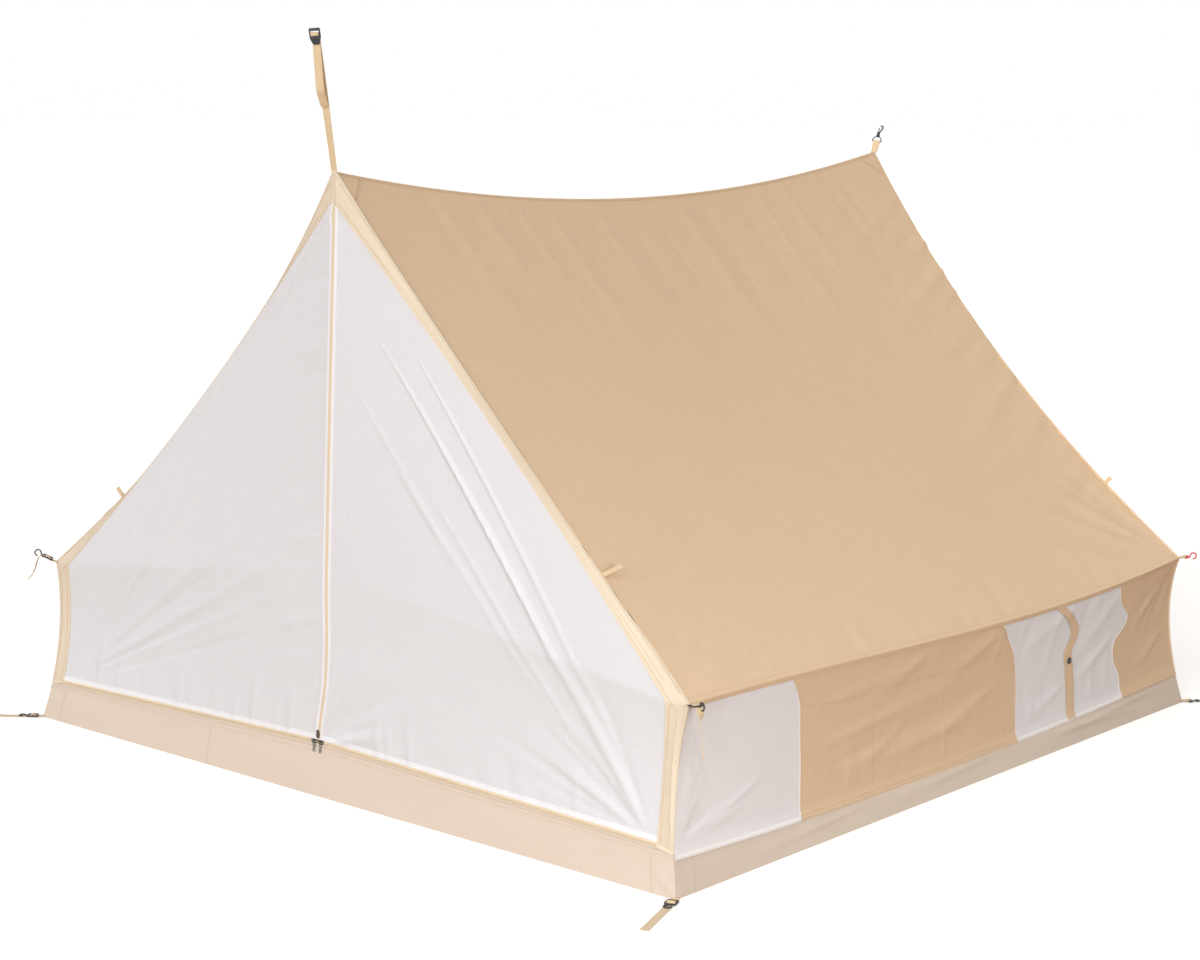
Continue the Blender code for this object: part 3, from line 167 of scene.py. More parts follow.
FRONT_NET_HEM = 0.0034
BAND_WIDTH = 0.038
BAND_LIFT = 0.0028
MITRE_SHARES = (0.0, 0.10, 0.20, 0.28, 0.40, 0.65, 0.85, 1.0)
MITRE_ACROSS = (1.0, 0.76, 0.48, 0.36, 0.33, 0.26, 0.18, 0.12)
MITRE_UP = (0.3325, 0.3290, 0.3150, 0.2950, 0.2500, 0.1500, 0.0700, 0.0160)
POCKET_FOOT = 0.012
POCKET_TOP = 0.76
POCKET_IN = 0.006
POCKET_BULGE = 0.030
POCKET_COUNT = 3

# Where on a seam its place is taken, to ease its turns: in shares of how far to each side
EASE_STEPS = (-1.0, -0.5, 0.0, 0.5, 1.0)
SEAM_EASE = 0.03

# How far the closed centre zip hangs to the right of its straight line, by height
ZIP_SLACK = (
    (0.125, 0.000), (0.170, 0.003), (0.235, 0.013), (0.275, 0.019), (0.330, 0.020), (0.410, 0.019),
    (0.500, 0.0125), (0.650, 0.010), (1.000, 0.005), (1.438, 0.000),
)
ZIP_EASE = 0.03
ZIP_REACH = 1.008
TAPE_EDGE = 0.0048
HEM_EDGE = 0.0140
SILL_TAPE = 0.0052
SILL_HEM = 0.0125
TOOTH_PITCH = 0.0024
TOOTH = (0.0026, 0.0015, 0.0018)
STITCH_SHARE = 0.78
STITCH_SECTION = (0.0010, 0.0007)
TUB_CLOTH = 0.0008
TUB_HEM = 0.016
CORNER_PATCH = 0.066
TUB_SEAM_X = -0.436

FRONT, REAR = -1, 1
SIDES = (("left", -1), ("right", 1))
MIDDLE = np.array((0.0, 0.0, 0.45))
TUB_MIDDLE = np.array((0.0, 0.0, 0.05))

# Webbing, locks and hooks
WEBBING = 0.0015
WEBBING_WIDTH = 0.020
FIT_GAP = 0.0004
GROUND_GAP = 0.0008
LOCK_LENGTH = 0.029
LOCK_THICKNESS = 0.0034
LOCK_BAR = 0.0034
TIE_TAB = 0.013
REAR_TIE_TAB = 0.020
HANGER_LENGTH = 0.300
HANGER_LEAN = 11.0
HANGER_TWIST = 25.0
HANGER_TAIL = 0.145
LOCK_FOOT = 0.0185
LOCK_SLOT = 0.0032
LOCK_MIDDLE = 0.0038
REAR_TAB = 0.033
REAR_TAB_LEAN = 22.0
REAR_TAB_TWIST = 20.0
REAR_TAB_HEAD = 0.0215
SNAP_WIRE = 0.0034
TAPE_WIDTH = 0.012
CURVE_STEPS = 5
SWEEP_SQUARENESS = 0.45
TAPE_LIFT = 0.0040
LOCK_CLEAR = LOCK_THICKNESS / 2 + FIT_GAP + WEBBING / 2
LOCK_END = TIE_TAB + LOCK_LENGTH + 0.001
ROOF_TAPES = (
    ("front_left", -1, FRONT, 0.205, 0.026, (-0.70, -0.10, 0.70)),
    ("front_right", 1, FRONT, 0.235, 0.055, (0.25, 0.93, 0.28)),
    ("rear_left", -1, REAR, 0.190, 0.020, (-0.70, 0.10, 0.70)),
    ("rear_right", 1, REAR, 0.190, 0.020, (0.70, 0.10, 0.70)),
)
TIES = (
    ("front_left_eave", -1, FRONT, -140, 24, 0.075),
    ("front_right_eave", 1, FRONT, -22, 8, 0.110),
    ("rear_left_eave", -1, REAR, 135, 8, 0.0),
    ("rear_right_eave", 1, REAR, 45, 8, 0.0),
    ("front_left_base", -1, FRONT, -140, 0, 0.085),
    ("front_right_base", 1, FRONT, -70, 0, 0.165),
    ("rear_left_base", -1, REAR, 135, 0, 0.0),
    ("rear_right_base", 1, REAR, 45, 0, 0.0),
)
TAIL_TURNS = {"front_right_eave": -60}
BODY_NODES = FRAME["record"]["behaviour"]["bodies"]
HARDWARE = {
    part: (paint, edge)
    for paint, edge, parts in (
        ("slider metal", 0.0003, ("centre_slider", "left_slider", "right_slider")),
        ("pull metal", 0.0003, ("centre_pull", "left_pull", "right_pull")),
        ("black plastic", 0.0006, ("front_left_eave_hook", "front_right_eave_hook")),
        ("red plastic", 0.0006, ("rear_left_eave_hook", "rear_right_eave_hook")),
        ("black plastic", 0.0006, (
            "front_left_base_hook", "front_right_base_hook", "rear_left_base_hook", "rear_right_base_hook",
            "ridge_lock",
        )),
        ("black plastic", 0.0004, ("snap_eye", "snap_hook", "snap_gate", "left_window_snap", "right_window_snap")),
    )
    for part in parts
}

# Finishes. Each weave is its yarn pitch, slub, broad shade, thread relief, swell, roughness, sheen, and its shade's
# fineness where that isn't the usual one.
# MOULDED has each colour, roughness, grain, metal share, and how much paler the worn patches are.
WEAVES = {
    "roof": (0.0007, 0.10, 0.05, 0.00005, 0.0012, 0.88, 0.10),
    "binding": (0.0007, 0.10, 0.04, 0.00005, 0.0006, 0.88, 0.10),
    # The weave below is used for the strips of painted shade and painted shadow
    "shade": (0.0007, 0.10, 0.04, 0.00005, 0.0006, 0.88, 0.0),
    "net": (0.0011, 0.06, 0.03, 0.00004, 0.0006, 0.80, 0.0),
    "hem": (0.0008, 0.05, 0.03, 0.00004, 0.0003, 0.80, 0.0),
    "tub": (0.0005, 0.05, 0.06, 0.00003, 0.0010, 0.55, 0.05),
    "webbing": (0.0021, 0.20, 0.10, 0.00022, 0.0002, 0.82, 0.15, 30.0),
    "tape": (0.0009, 0.12, 0.06, 0.00006, 0.0002, 0.75, 0.05, 20.0),
    "thread": (0.0004, 0.20, 0.10, 0.00004, 0.0001, 0.70, 0.10, 40.0),
}
MOULDED = (
    ("black plastic", (0.012, 0.012, 0.013), 0.38, 0.00006, 0.0, (0.05, 0.05, 0.05)),
    ("red plastic", (0.62, 0.012, 0.018), 0.36, 0.00006, 0.0, (0.10, 0.02, 0.02)),
    ("slider metal", (0.060, 0.055, 0.045), 0.36, 0.00004, 0.85, (0.10, 0.10, 0.09)),
    ("pull metal", (0.20, 0.19, 0.15), 0.34, 0.00004, 0.9, (0.30, 0.29, 0.25)),
)
# Painted shade: colour of the narrow darker strips beside the ridge seam, standing in for the seam's shadow
PAINTED_SEAM_SHADE = (0.69, 0.515, 0.34)
# Painted shadow: colour of the dark strip along the edge of the lap at the peak, standing in for the shadow the lap
# casts
PAINTED_PEAK_SHADOW = (0.62, 0.42, 0.26)
# Painted light: the side walls' hem tape is coloured paler than the door's hem, to make up for the dimmer light on the
# side walls
SIDE_HEM = (0.98, 0.98, 1.0)
TUB_THREAD = (0.52, 0.41, 0.32)
WHITE_THREAD = (0.80, 0.80, 0.82)
DOOR_NET_COVER = (0.60, 0.76)
SIDE_NET_COVER = (0.78, 0.90)

# Camera, light and floor. Each sun is its name, heading, strength and softness in degrees
CAMERA_PLACE = (4.348, -5.308, 1.826)
CAMERA_PITCH = 0.170
CAMERA_ROLL = 0.017
CAMERA_LENS = 75.94
SUNS = (("key", (0.06, -0.93, 0.36), 2.0, 50), ("fill", (-0.50, 0.66, 0.55), 0.35, 70))
SIDE_LAMP = (3.8, -2.2, 1.25)
SIDE_LAMP_AIM = (1.0, -0.5, 0.3)
SIDE_LAMP_POWER = 44
SIDE_LAMP_SIZE = 1.6
SIDE_LAMP_COLOUR = (1.0, 0.985, 0.97)
SKY_TINT = (1.0, 0.96, 0.91, 1.0)
SKY_LEVEL = 0.47
FLOOR_BOUNCE = (0.34, 0.21, 0.15, 1.0)
FLOOR_TONE = (0.87, 0.89)
FLOOR_GLOW = 0.42


class TentSizes(bpy.types.PropertyGroup):
    cloth: bpy.props.FloatProperty(
        name="Cloth", description="Thickness of the cotton and net", default=0.0005, min=0.0002, max=0.002,
        unit="LENGTH",
    )
    folds: bpy.props.FloatProperty(
        name="Folds", description="Depth of the folds against the photographed ones", default=1.0, min=0.0, max=2.0,
    )
    stitch: bpy.props.FloatProperty(
        name="Stitch", description="Distance from one stitch to the next", default=0.0042, min=0.002, max=0.01,
        unit="LENGTH",
    )
    camera_turn: bpy.props.FloatProperty(
        name="Camera turn", description="The camera's heading from the tent's long axis", default=0.699,
        unit="ROTATION",
    )


def colour(name, text, value):
    return bpy.props.FloatVectorProperty(
        name=name, description=text, default=value, size=3, min=0.0, max=1.0, subtype="COLOR",
    )


class TentColours(bpy.types.PropertyGroup):
    roof: colour("Roof", "Cotton of the roof and walls", (0.80, 0.60, 0.40))
    binding: colour("Binding", "Cotton of the front binding", (0.775, 0.68, 0.535))
    hem_cotton: colour("Binding hem", "Turned edge of the front binding", (0.785, 0.675, 0.51))
    net: colour("Net", "Fine net of the door", (0.94, 0.945, 0.98))
    # Painted light: the side net is coloured paler than the door's net, to make up for the dimmer light on the side
    # walls
    side_net: colour("Side net", "Denser net of the side walls and windows", (0.98, 0.985, 1.0))
    hem: colour("Hem", "White hem tape of the net", (0.88, 0.89, 0.92))
    tub: colour("Tub", "Coated cloth of the tub floor", (0.73, 0.63, 0.53))
    zip: colour("Zip", "Zip tape and coil", (0.80, 0.68, 0.50))
    webbing: colour("Webbing", "Woven webbing of the ties", (0.75, 0.585, 0.375))
    thread: colour("Thread", "Sewing thread", (0.54, 0.40, 0.26))


def sizes():
    return bpy.context.scene.tent_sizes


def colours():
    return bpy.context.scene.tent_colours


# Shapes as numbers: every edge and surface takes arrays of shares and gives an array of points

def spread(*parts):
    return np.stack(np.broadcast_arrays(*parts), axis=-1).astype(float)


def between(first, last, share):
    first = np.asarray(first, float)
    last = np.asarray(last, float)
    return first + (last - first) * np.asarray(share, float)[..., None]


def bowed(share, reach):
    """A reach that is nothing at both ends of an edge and whole in its middle."""
    share = np.asarray(share, float)
    return (4 * share * (1 - share))[..., None] * np.asarray(reach, float)


def along(points, share):
    return np.interp(share, [point[0] for point in points], [point[1] for point in points])


def seam_place(points, share):
    """A wall seam's place along the tent, with its turns eased."""
    share = np.asarray(share, float)
    reach = np.clip(np.minimum(share, 1 - share), 0, SEAM_EASE)
    return sum(along(points, share + reach * step) for step in EASE_STEPS) / len(EASE_STEPS)


def unit(vector):
    vector = np.asarray(vector, float)
    return vector / np.maximum(np.linalg.norm(vector, axis=-1, keepdims=True), 1e-12)


def base_corner(side, end):
    return np.array((side * FLOOR_WIDTH / 2, end * FLOOR_LENGTH / 2, 0.0))


def rim_corner(side, end):
    return np.array((side * (FLOOR_WIDTH / 2 - TUB_LEAN_SIDE), end * (FLOOR_LENGTH / 2 - TUB_LEAN_END), TUB_HEIGHT))


def eave_corner(side, end):
    return np.array((side * (FLOOR_WIDTH / 2 - EAVE_IN_SIDE), end * (FLOOR_LENGTH / 2 - EAVE_IN_END), EAVE_HEIGHT))


def apex(end):
    return np.array((0.0, end * (FLOOR_LENGTH / 2 - RIDGE_IN_END), RIDGE_HEIGHT))


def gable_edge(side, end, share):
    """Eave corner to apex."""
    foot, top = eave_corner(side, end), apex(end)
    run = np.abs(top - foot)
    inward = unit((-side * run[2], 0.0, -run[0]))
    share = np.asarray(share, float)
    held = 1 - GABLE_HOLD.get((side, end), GABLE_HOLD_USUAL) * np.clip(1 - share / GABLE_HOLD_REACH, 0, 1)
    reach = held[..., None] * (GABLE_DIP * inward) + np.array((0, -end * GABLE_TUCK, 0))
    return between(foot, top, share) + bowed(share, reach)


def corner_edge(side, end, share):
    """Tub rim to eave corner."""
    return taut_corner(side, end, share) + corner_pull(side, share)


def taut_corner(side, end, share):
    tuck = (-side * CORNER_TUCK, -end * CORNER_TUCK, 0)
    return between(rim_corner(side, end), eave_corner(side, end), share) + bowed(share, tuck)


def corner_pull(side, share):
    """How much further the corner's own edge hangs in than the wall beside it."""
    share = np.clip(share, 0, 1)
    return bowed(share - CORNER_PULL_LOWER * share * (1 - share), (-side * CORNER_PULL[side], 0, 0))


def eave_edge(side, share):
    share = np.asarray(share, float)
    sag = EAVE_SAG * (1 + EAVE_SAG_REARWARD * (2 * share - 1))
    tuck = spread(-side * EAVE_TUCK, 0, -sag)
    return between(eave_corner(side, FRONT), eave_corner(side, REAR), share) + bowed(share, tuck)


def ridge_edge(share):
    return between(apex(FRONT), apex(REAR), share) + bowed(share, (0, 0, -RIDGE_SAG))


def side_rim(side, share):
    tuck = (-side * RIM_SIDE_TUCK, 0, -RIM_SIDE_DIP)
    return between(rim_corner(side, FRONT), rim_corner(side, REAR), share) + bowed(share, tuck)


def end_rim(end, share):
    """Left to right. The front rim is held up in its middle by the door's zip."""
    share = np.asarray(share, float)
    points = between(rim_corner(-1, end), rim_corner(1, end), share)
    if end == REAR:
        return points + bowed(share, (0, 0, -RIM_SIDE_DIP / 2))
    points[..., 2] += SILL_RISE * (1 - np.abs(2 * share - 1))
    return points


def patch(low, high, first, last, across, up):
    """Points of the surface stretched between four edges."""
    return between(low(across), high(across), up) + between(first(up), last(up), across) - between(
        between(low(0.0), low(1.0), across), between(high(0.0), high(1.0), across), up
    )


def half_roof(side, across, up):
    return patch(
        lambda s: eave_edge(side, s), ridge_edge, lambda s: gable_edge(side, FRONT, s),
        lambda s: gable_edge(side, REAR, s), across, up,
    )


def roof_surface(across, over):
    """across runs front to rear, and over from -1 at the left eave through the ridge to 1 at the right eave."""
    up = 1 - np.abs(over)
    left, right = half_roof(-1, across, up), half_roof(1, across, up)
    return np.where((over < 0)[..., None], left, right)


def wall_surface(side, across, up):
    points = patch(
        lambda s: side_rim(side, s), lambda s: eave_edge(side, s), lambda s: taut_corner(side, FRONT, s),
        lambda s: taut_corner(side, REAR, s), across, up,
    )
    across = np.asarray(across)
    near = sum(np.exp(-(away / CORNER_PULL_REACH) ** 2) for away in (across, 1 - across))
    return points + corner_pull(side, up) * near[..., None]


def hung_wall(side, across, up):
    """The side wall, whose foot hangs down over the tub's hem."""
    points = wall_surface(side, across, up)
    low = np.asarray(up, float)
    drop = np.clip(-low, 0, 1) * WALL_RISE
    points[..., 0] += side * (drop * WALL_FOOT_LEAN + WALL_FOOT_STEP * np.clip(1 - low / 0.03, 0, 1))
    return points


def wall_share(y):
    return (y + WALL_HALF) / (2 * WALL_HALF)


def front_y(height):
    foot, top = rim_corner(1, FRONT), apex(FRONT)
    return foot[1] + (top[1] - foot[1]) * (np.asarray(height, float) - foot[2]) / (top[2] - foot[2])


def on_front(x, height):
    return spread(x, front_y(height), height)


def sill_height(x):
    reach = np.where(np.asarray(x) > ZIP_FOOT_X, SILL_HALF - ZIP_FOOT_X, SILL_HALF + ZIP_FOOT_X)
    return SILL_MIDDLE + (SILL_END - SILL_MIDDLE) * np.abs(np.asarray(x) - ZIP_FOOT_X) / reach


def zip_x(height):
    """The closed zip's line, with its slack."""
    height = np.asarray(height, float)
    taut = ZIP_FOOT_X * (ZIP_TOP - height) / (ZIP_TOP - SILL_MIDDLE)
    slack = sum(along(ZIP_SLACK, height + ZIP_EASE * step) for step in EASE_STEPS) / len(EASE_STEPS)
    return taut + slack * np.clip((height - SILL_MIDDLE) / ZIP_EASE, 0, 1)


def end_outline(side, end, share):
    """Up the corner for the first third, and the gable for the rest."""
    share = np.asarray(share, float)
    upright = corner_edge(side, end, np.minimum(share * 3, 1.0))
    slant = gable_edge(side, end, np.maximum((share - 1 / 3) * 1.5, 0.0))
    return np.where((share < 1 / 3)[..., None], upright, slant)


def binding_inner(side, share):
    """The edge of the door's net: up beside the corner, then along the gable to the zip's top."""
    share = np.asarray(share, float)
    foot = on_front(side * (SILL_HALF - BINDING_FOOT), SILL_END + 0.001)
    eave = on_front(side * (FLOOR_WIDTH / 2 - EAVE_IN_SIDE - BINDING_EAVE_IN), EAVE_HEIGHT - BINDING_EAVE_DROP)
    eave = eave + (0, BINDING_EAVE_BACK, 0)
    top = on_front(PEAK_OPEN[side][0], RIDGE_HEIGHT - BINDING_APEX_DROP + PEAK_OPEN[side][1])
    low = np.minimum(share * 3, 1)
    high = np.clip((share - 1 / 3) * 1.5, 0, 1)
    dip = unit((-side, 0, -1)) * BINDING_INNER_DIP + np.array((0, BINDING_INNER_TUCK, 0))
    upright = between(foot, eave, low) + bowed(low, (-side * BINDING_UPRIGHT_TUCK, BINDING_CORNER_TUCK, 0))
    slant = between(eave, top, high) + bowed(high, dip)
    return np.where((share < 1 / 3)[..., None], upright, slant)


# Folds: soft ridges in the cloth, laid out in metres on a panel

def fold_heights(a, b, lines):
    """Height of the folds at places a, b. Each line is its two ends, its half width and its height."""
    total = np.zeros(np.broadcast(a, b).shape)
    for a0, b0, a1, b1, width, height in lines:
        run_a, run_b = a1 - a0, b1 - b0
        length = math.hypot(run_a, run_b)
        way = ((a - a0) * run_a + (b - b0) * run_b) / length ** 2
        off = ((a - a0) * run_b - (b - b0) * run_a) / length
        way = np.clip(way, 0, 1)
        fade = np.sin(np.pi * way ** 0.75)
        total += height * fade * np.exp(-((off / (width * (0.6 + 0.8 * way))) ** 2))
    return total


def fan(seed, centre, first, last, count, near, far, width, height):
    """Folds that run out from a pulled corner, between two headings in degrees."""
    dice = random.Random(seed)
    lines = []
    for index in range(count):
        heading = math.radians(first + (last - first) * (index + dice.uniform(0.2, 0.8)) / count)
        start, end = near * dice.uniform(0.0, 1.0), far * dice.uniform(0.55, 1.0)
        size = dice.uniform(0.7, 1.3)
        lines.append((
            centre[0] + start * math.cos(heading), centre[1] + start * math.sin(heading),
            centre[0] + end * math.cos(heading), centre[1] + end * math.sin(heading),
            width * size, height * dice.choice((-0.8, 1.0, 1.0)) * size,
        ))
    return lines


def comb(seed, first, last, count, run, reach, width, height):
    """Short folds side by side that leave a seam from first to last, each along run."""
    dice = random.Random(seed)
    lines = []
    for index in range(count):
        share = (index + dice.uniform(0.1, 0.9)) / count
        a = first[0] + (last[0] - first[0]) * share
        b = first[1] + (last[1] - first[1]) * share
        length = reach * dice.uniform(0.45, 1.2)
        size = dice.uniform(0.6, 1.35)
        tilt = dice.uniform(-0.12, 0.12)
        lines.append((
            a - run[0] * 0.02, b - run[1] * 0.02, a + run[0] * length, b + (run[1] + tilt) * length,
            width * size, height * size * dice.choice((-0.7, 1.0)),
        ))
    return lines


ROOF_FOLDS = (
    comb(11, (1.10, 0.16), (1.10, 1.25), 26, (-1.0, -0.22), 0.19, 0.010, 0.0032)
    + comb(12, (1.10, 0.30), (1.10, 1.40), 14, (-1.0, -0.30), 0.42, 0.020, 0.0026)
    + fan(13, (1.12, 0.0), 108, 172, 8, 0.05, 0.62, 0.022, 0.0024)
    + fan(14, (-1.12, 0.0), 12, 66, 6, 0.04, 0.36, 0.012, 0.0018)
    + comb(15, (-0.95, 1.49), (1.0, 1.49), 15, (0.10, -1.0), 0.50, 0.026, 0.0016)
    + comb(16, (-1.0, 0.0), (1.0, 0.0), 20, (0.25, 1.0), 0.16, 0.016, 0.0015)
    + comb(17, (-1.11, 0.20), (-1.11, 1.35), 14, (1.0, -0.10), 0.12, 0.012, 0.0012)
)
LEFT_NET_FOLDS = (
    fan(21, (-1.04, 0.10), 18, 60, 13, 0.08, 1.05, 0.007, 0.0034)
    + comb(22, (-0.98, 0.44), (-0.08, 1.30), 8, (0.60, 0.72), 0.55, 0.007, 0.0024)
    + comb(23, (-0.95, 0.11), (-0.10, 0.125), 13, (0.12, 1.0), 0.16, 0.010, 0.0026)
    + comb(24, (-0.04, 0.30), (-0.01, 1.30), 9, (-1.0, -0.35), 0.20, 0.009, 0.0020)
)
RIGHT_NET_FOLDS = (
    [
        (0.24, 1.12, 0.98, 0.20, 0.006, 0.0034), (0.17, 1.10, 0.96, 0.16, 0.006, 0.0030),
        (0.32, 0.92, 0.99, 0.14, 0.007, 0.0034), (0.10, 1.18, 0.80, 0.36, 0.006, 0.0024),
        (0.30, 0.80, 0.93, 0.13, 0.007, 0.0026), (0.12, 0.92, 0.84, 0.20, 0.008, 0.0020),
        (0.04, 1.05, 0.50, 0.50, 0.008, 0.0020),
    ]
    + fan(31, (1.01, 0.11), 118, 172, 9, 0.05, 0.55, 0.008, 0.0030)
    + fan(32, (-0.03, 0.13), 12, 82, 8, 0.03, 0.36, 0.010, 0.0042)
    + comb(33, (0.05, 0.12), (0.95, 0.105), 14, (-0.12, 1.0), 0.13, 0.010, 0.0026)
)
WALL_FOLDS = (
    fan(41, (-1.12, 0.43), -78, -12, 8, 0.03, 0.34, 0.010, 0.0022)
    + fan(42, (-1.14, 0.10), 12, 75, 6, 0.03, 0.24, 0.010, 0.0024)
    + comb(43, (-0.66, 0.10), (0.26, 0.075), 12, (0.06, 1.0), 0.10, 0.012, 0.0010)
    + comb(44, (-0.70, 0.41), (0.95, 0.40), 16, (-0.10, -1.0), 0.08, 0.012, 0.0010)
    + fan(45, (1.12, 0.43), -168, -105, 7, 0.03, 0.30, 0.012, 0.0012)
    + comb(46, (0.29, 0.09), (0.80, 0.09), 7, (0.05, 1.0), 0.16, 0.014, 0.0012)
    + comb(47, (0.22, 0.37), (0.80, 0.40), 7, (-0.55, -1.0), 0.16, 0.015, 0.0016)
    + [
        (0.62, 0.37, 0.30, 0.27, 0.020, 0.0026), (0.84, 0.37, 0.58, 0.20, 0.022, 0.0024),
        (0.80, 0.25, 0.58, 0.14, 0.016, 0.0028), (0.56, 0.16, 0.33, 0.09, 0.014, 0.0026),
        (0.24, 0.36, -0.05, 0.27, 0.022, 0.0038), (0.22, 0.22, -0.12, 0.13, 0.018, 0.0030),
        (-0.10, 0.36, -0.38, 0.28, 0.020, 0.0030), (-0.20, 0.20, -0.50, 0.11, 0.018, 0.0028),
        (-0.62, 0.21, 0.18, 0.27, 0.018, 0.0030), (-0.55, 0.16, 0.05, 0.20, 0.016, -0.0026),
        (-0.32, 0.13, 0.25, 0.17, 0.016, 0.0026), (-0.60, 0.31, -0.12, 0.34, 0.014, 0.0022),
        (-0.80, 0.20, -1.04, 0.12, 0.009, 0.0024), (-0.86, 0.15, -1.06, 0.11, 0.008, 0.0020),
        (1.05, 0.36, 0.90, 0.24, 0.014, 0.0030), (1.08, 0.22, 0.92, 0.13, 0.014, 0.0024),
    ]
)
REAR_FOLDS = (
    fan(51, (-1.06, 0.43), -60, 20, 8, 0.04, 0.50, 0.012, 0.0030)
    + fan(52, (1.06, 0.43), 160, 240, 8, 0.04, 0.50, 0.012, 0.0030)
    + fan(53, (0.0, 1.50), -125, -55, 7, 0.05, 0.60, 0.014, 0.0026)
    + comb(54, (-1.0, 0.10), (1.0, 0.10), 22, (0.05, 1.0), 0.18, 0.014, 0.0022)
)
TUB_FOLDS = {
    "front": comb(61, (0.05, 0.10), (2.1, 0.10), 12, (0.35, -1.0), 0.09, 0.014, 0.0014)
    + fan(62, (2.2, 0.0), 100, 168, 9, 0.01, 0.11, 0.004, 0.0016)
    + fan(63, (0.0, 0.0), 12, 80, 6, 0.01, 0.12, 0.005, 0.0014),
    "right": comb(64, (0.05, 0.10), (2.3, 0.07), 14, (1.60, -1.0), 0.08, 0.012, 0.0026)
    + [
        (2.28, 0.070, 1.55, 0.045, 0.009, 0.0050), (2.10, 0.030, 1.45, 0.075, 0.010, 0.0036),
        (1.40, 0.070, 0.85, 0.040, 0.010, 0.0040), (0.80, 0.060, 0.25, 0.030, 0.010, 0.0034),
    ]
    + fan(65, (0.0, 0.0), 12, 80, 7, 0.01, 0.10, 0.004, 0.0014),
    "rear": comb(66, (0.05, 0.10), (2.1, 0.10), 14, (0.4, -1.0), 0.09, 0.014, 0.0014),
    "left": comb(67, (0.05, 0.07), (2.3, 0.10), 22, (-0.70, -1.0), 0.10, 0.012, 0.0022),
}
TUB_WALLS = {
    "front": (
        lambda s: between(base_corner(-1, FRONT), base_corner(1, FRONT), s), lambda s: end_rim(FRONT, s), FLOOR_WIDTH,
    ),
    "right": (
        lambda s: between(base_corner(1, FRONT), base_corner(1, REAR), s), lambda s: side_rim(1, s), FLOOR_LENGTH,
    ),
    "rear": (
        lambda s: between(base_corner(1, REAR), base_corner(-1, REAR), s), lambda s: end_rim(REAR, 1 - s), FLOOR_WIDTH,
    ),
    "left": (
        lambda s: between(base_corner(-1, REAR), base_corner(-1, FRONT), s), lambda s: side_rim(-1, 1 - s),
        FLOOR_LENGTH,
    ),
}


def roof_folds(points, over):
    up = (1 - np.abs(over)) * SLOPE
    mirrored = np.where(over < 0, 0.97, 1.0)
    rest = np.clip(np.abs(over) / 0.012, 0, 1) * np.clip((1 - np.abs(over)) / 0.02, 0, 1)
    ends = np.clip((1.127 - np.abs(points[..., 1])) / 0.03, 0.08, 1)
    broad = 0.004 * np.sin(points[..., 1] * 4.1 + 0.6) * np.sin(up * 3.7 + 0.4)
    return (fold_heights(points[..., 1] * mirrored, up, ROOF_FOLDS) * ends + broad) * rest


def net_folds(side, points, share):
    lines = LEFT_NET_FOLDS if side < 0 else RIGHT_NET_FOLDS
    calm = np.clip(share / 0.05, 0.35, 1) * np.clip((1 - share) / 0.05, 0, 1)
    height = np.clip((points[..., 2] - 0.11) / 0.04, 0, 1)
    return fold_heights(points[..., 0], points[..., 2], lines) * calm * height


def binding_folds(across, up):
    """The upright's crease, where the cloth turns from the front to the side, and a low roll down the slant."""
    low = np.clip(up * 3, 0, 1)
    place = 0.12 + 0.24 * low
    fold = np.minimum(across / place, (1 - across) / (1 - place))
    crease = BINDING_CREASE * np.sqrt(np.clip(4 * low * (1 - low), 0, 1)) * fold
    slant = BINDING_SWELL * np.sin(np.pi * np.clip(across, 0, 1)) * np.clip((up - 0.36) / 0.05, 0, 1)
    return np.maximum(crease, 0) + slant


def wall_folds(points, up):
    ends = np.clip(up / 0.12, 0, 1) * np.clip((1 - up) / 0.12, 0, 1)
    corners = np.clip((1.125 - np.abs(points[..., 1])) / 0.05, 0, 1)
    return fold_heights(points[..., 1], points[..., 2], WALL_FOLDS) * ends * corners


class Cloth:
    """A stretched surface with its folds. Every strip and stitch on it is placed through it, so all lie together."""

    def __init__(self, surface, folds=None, middle=MIDDLE):
        self.surface = surface
        self.folds = folds
        self.middle = middle

    def out(self, across, up):
        step = 0.004
        first = self.surface(across + step, up) - self.surface(across - step, up)
        second = self.surface(across, up + step) - self.surface(across, up - step)
        normal = unit(np.cross(first, second))
        facing = np.sum(normal * (self.surface(across, up) - self.middle), axis=-1)
        return normal * np.where(facing < 0, -1, 1)[..., None]

    def at(self, across, up, lift=0.0):
        across, up = np.broadcast_arrays(np.asarray(across, float), np.asarray(up, float))
        points = self.surface(across, up)
        height = np.zeros(across.shape) + lift
        if self.folds is not None:
            height = height + self.folds(points, across, up) * sizes().folds
        return points + self.out(across, up) * height[..., None]


def roof_cloth():
    return Cloth(roof_surface, lambda points, across, over: roof_folds(points, over))


def wall_cloth(side):
    return Cloth(lambda a, u: hung_wall(side, a, u), lambda points, a, u: wall_folds(points, u))


def binding_cloth(side):
    """across runs from the corner and gable edge to the door's net."""
    return Cloth(
        lambda a, u: between(end_outline(side, FRONT, u), binding_inner(side, u), a),
        lambda points, a, u: binding_folds(a, u),
    )


def door_surface(side, across, up):
    """across runs from the zip to the binding, and up from the sill to the top of the zip."""
    height = SILL_MIDDLE + (ZIP_TOP - SILL_MIDDLE) * up
    inner = on_front(zip_x(height) + side * 0.0004, height)
    outer = binding_inner(side, np.clip(up, 0, 1))
    outer[..., 2] += np.where(up < 0, up, 0) * (ZIP_TOP - SILL_MIDDLE)
    return between(inner, outer, across)


def door_cloth(side):
    return Cloth(lambda a, u: door_surface(side, a, u), lambda points, a, u: net_folds(side, points, a))


def rear_surface(across, up):
    share = np.asarray(up, float)
    points = between(*(end_outline(side, REAR, share) for side in (-1, 1)), across)
    points[..., 2] -= RIM_SIDE_DIP / 2 * 4 * across * (1 - across) * np.clip(1 - share * 3, 0, 1)
    return points


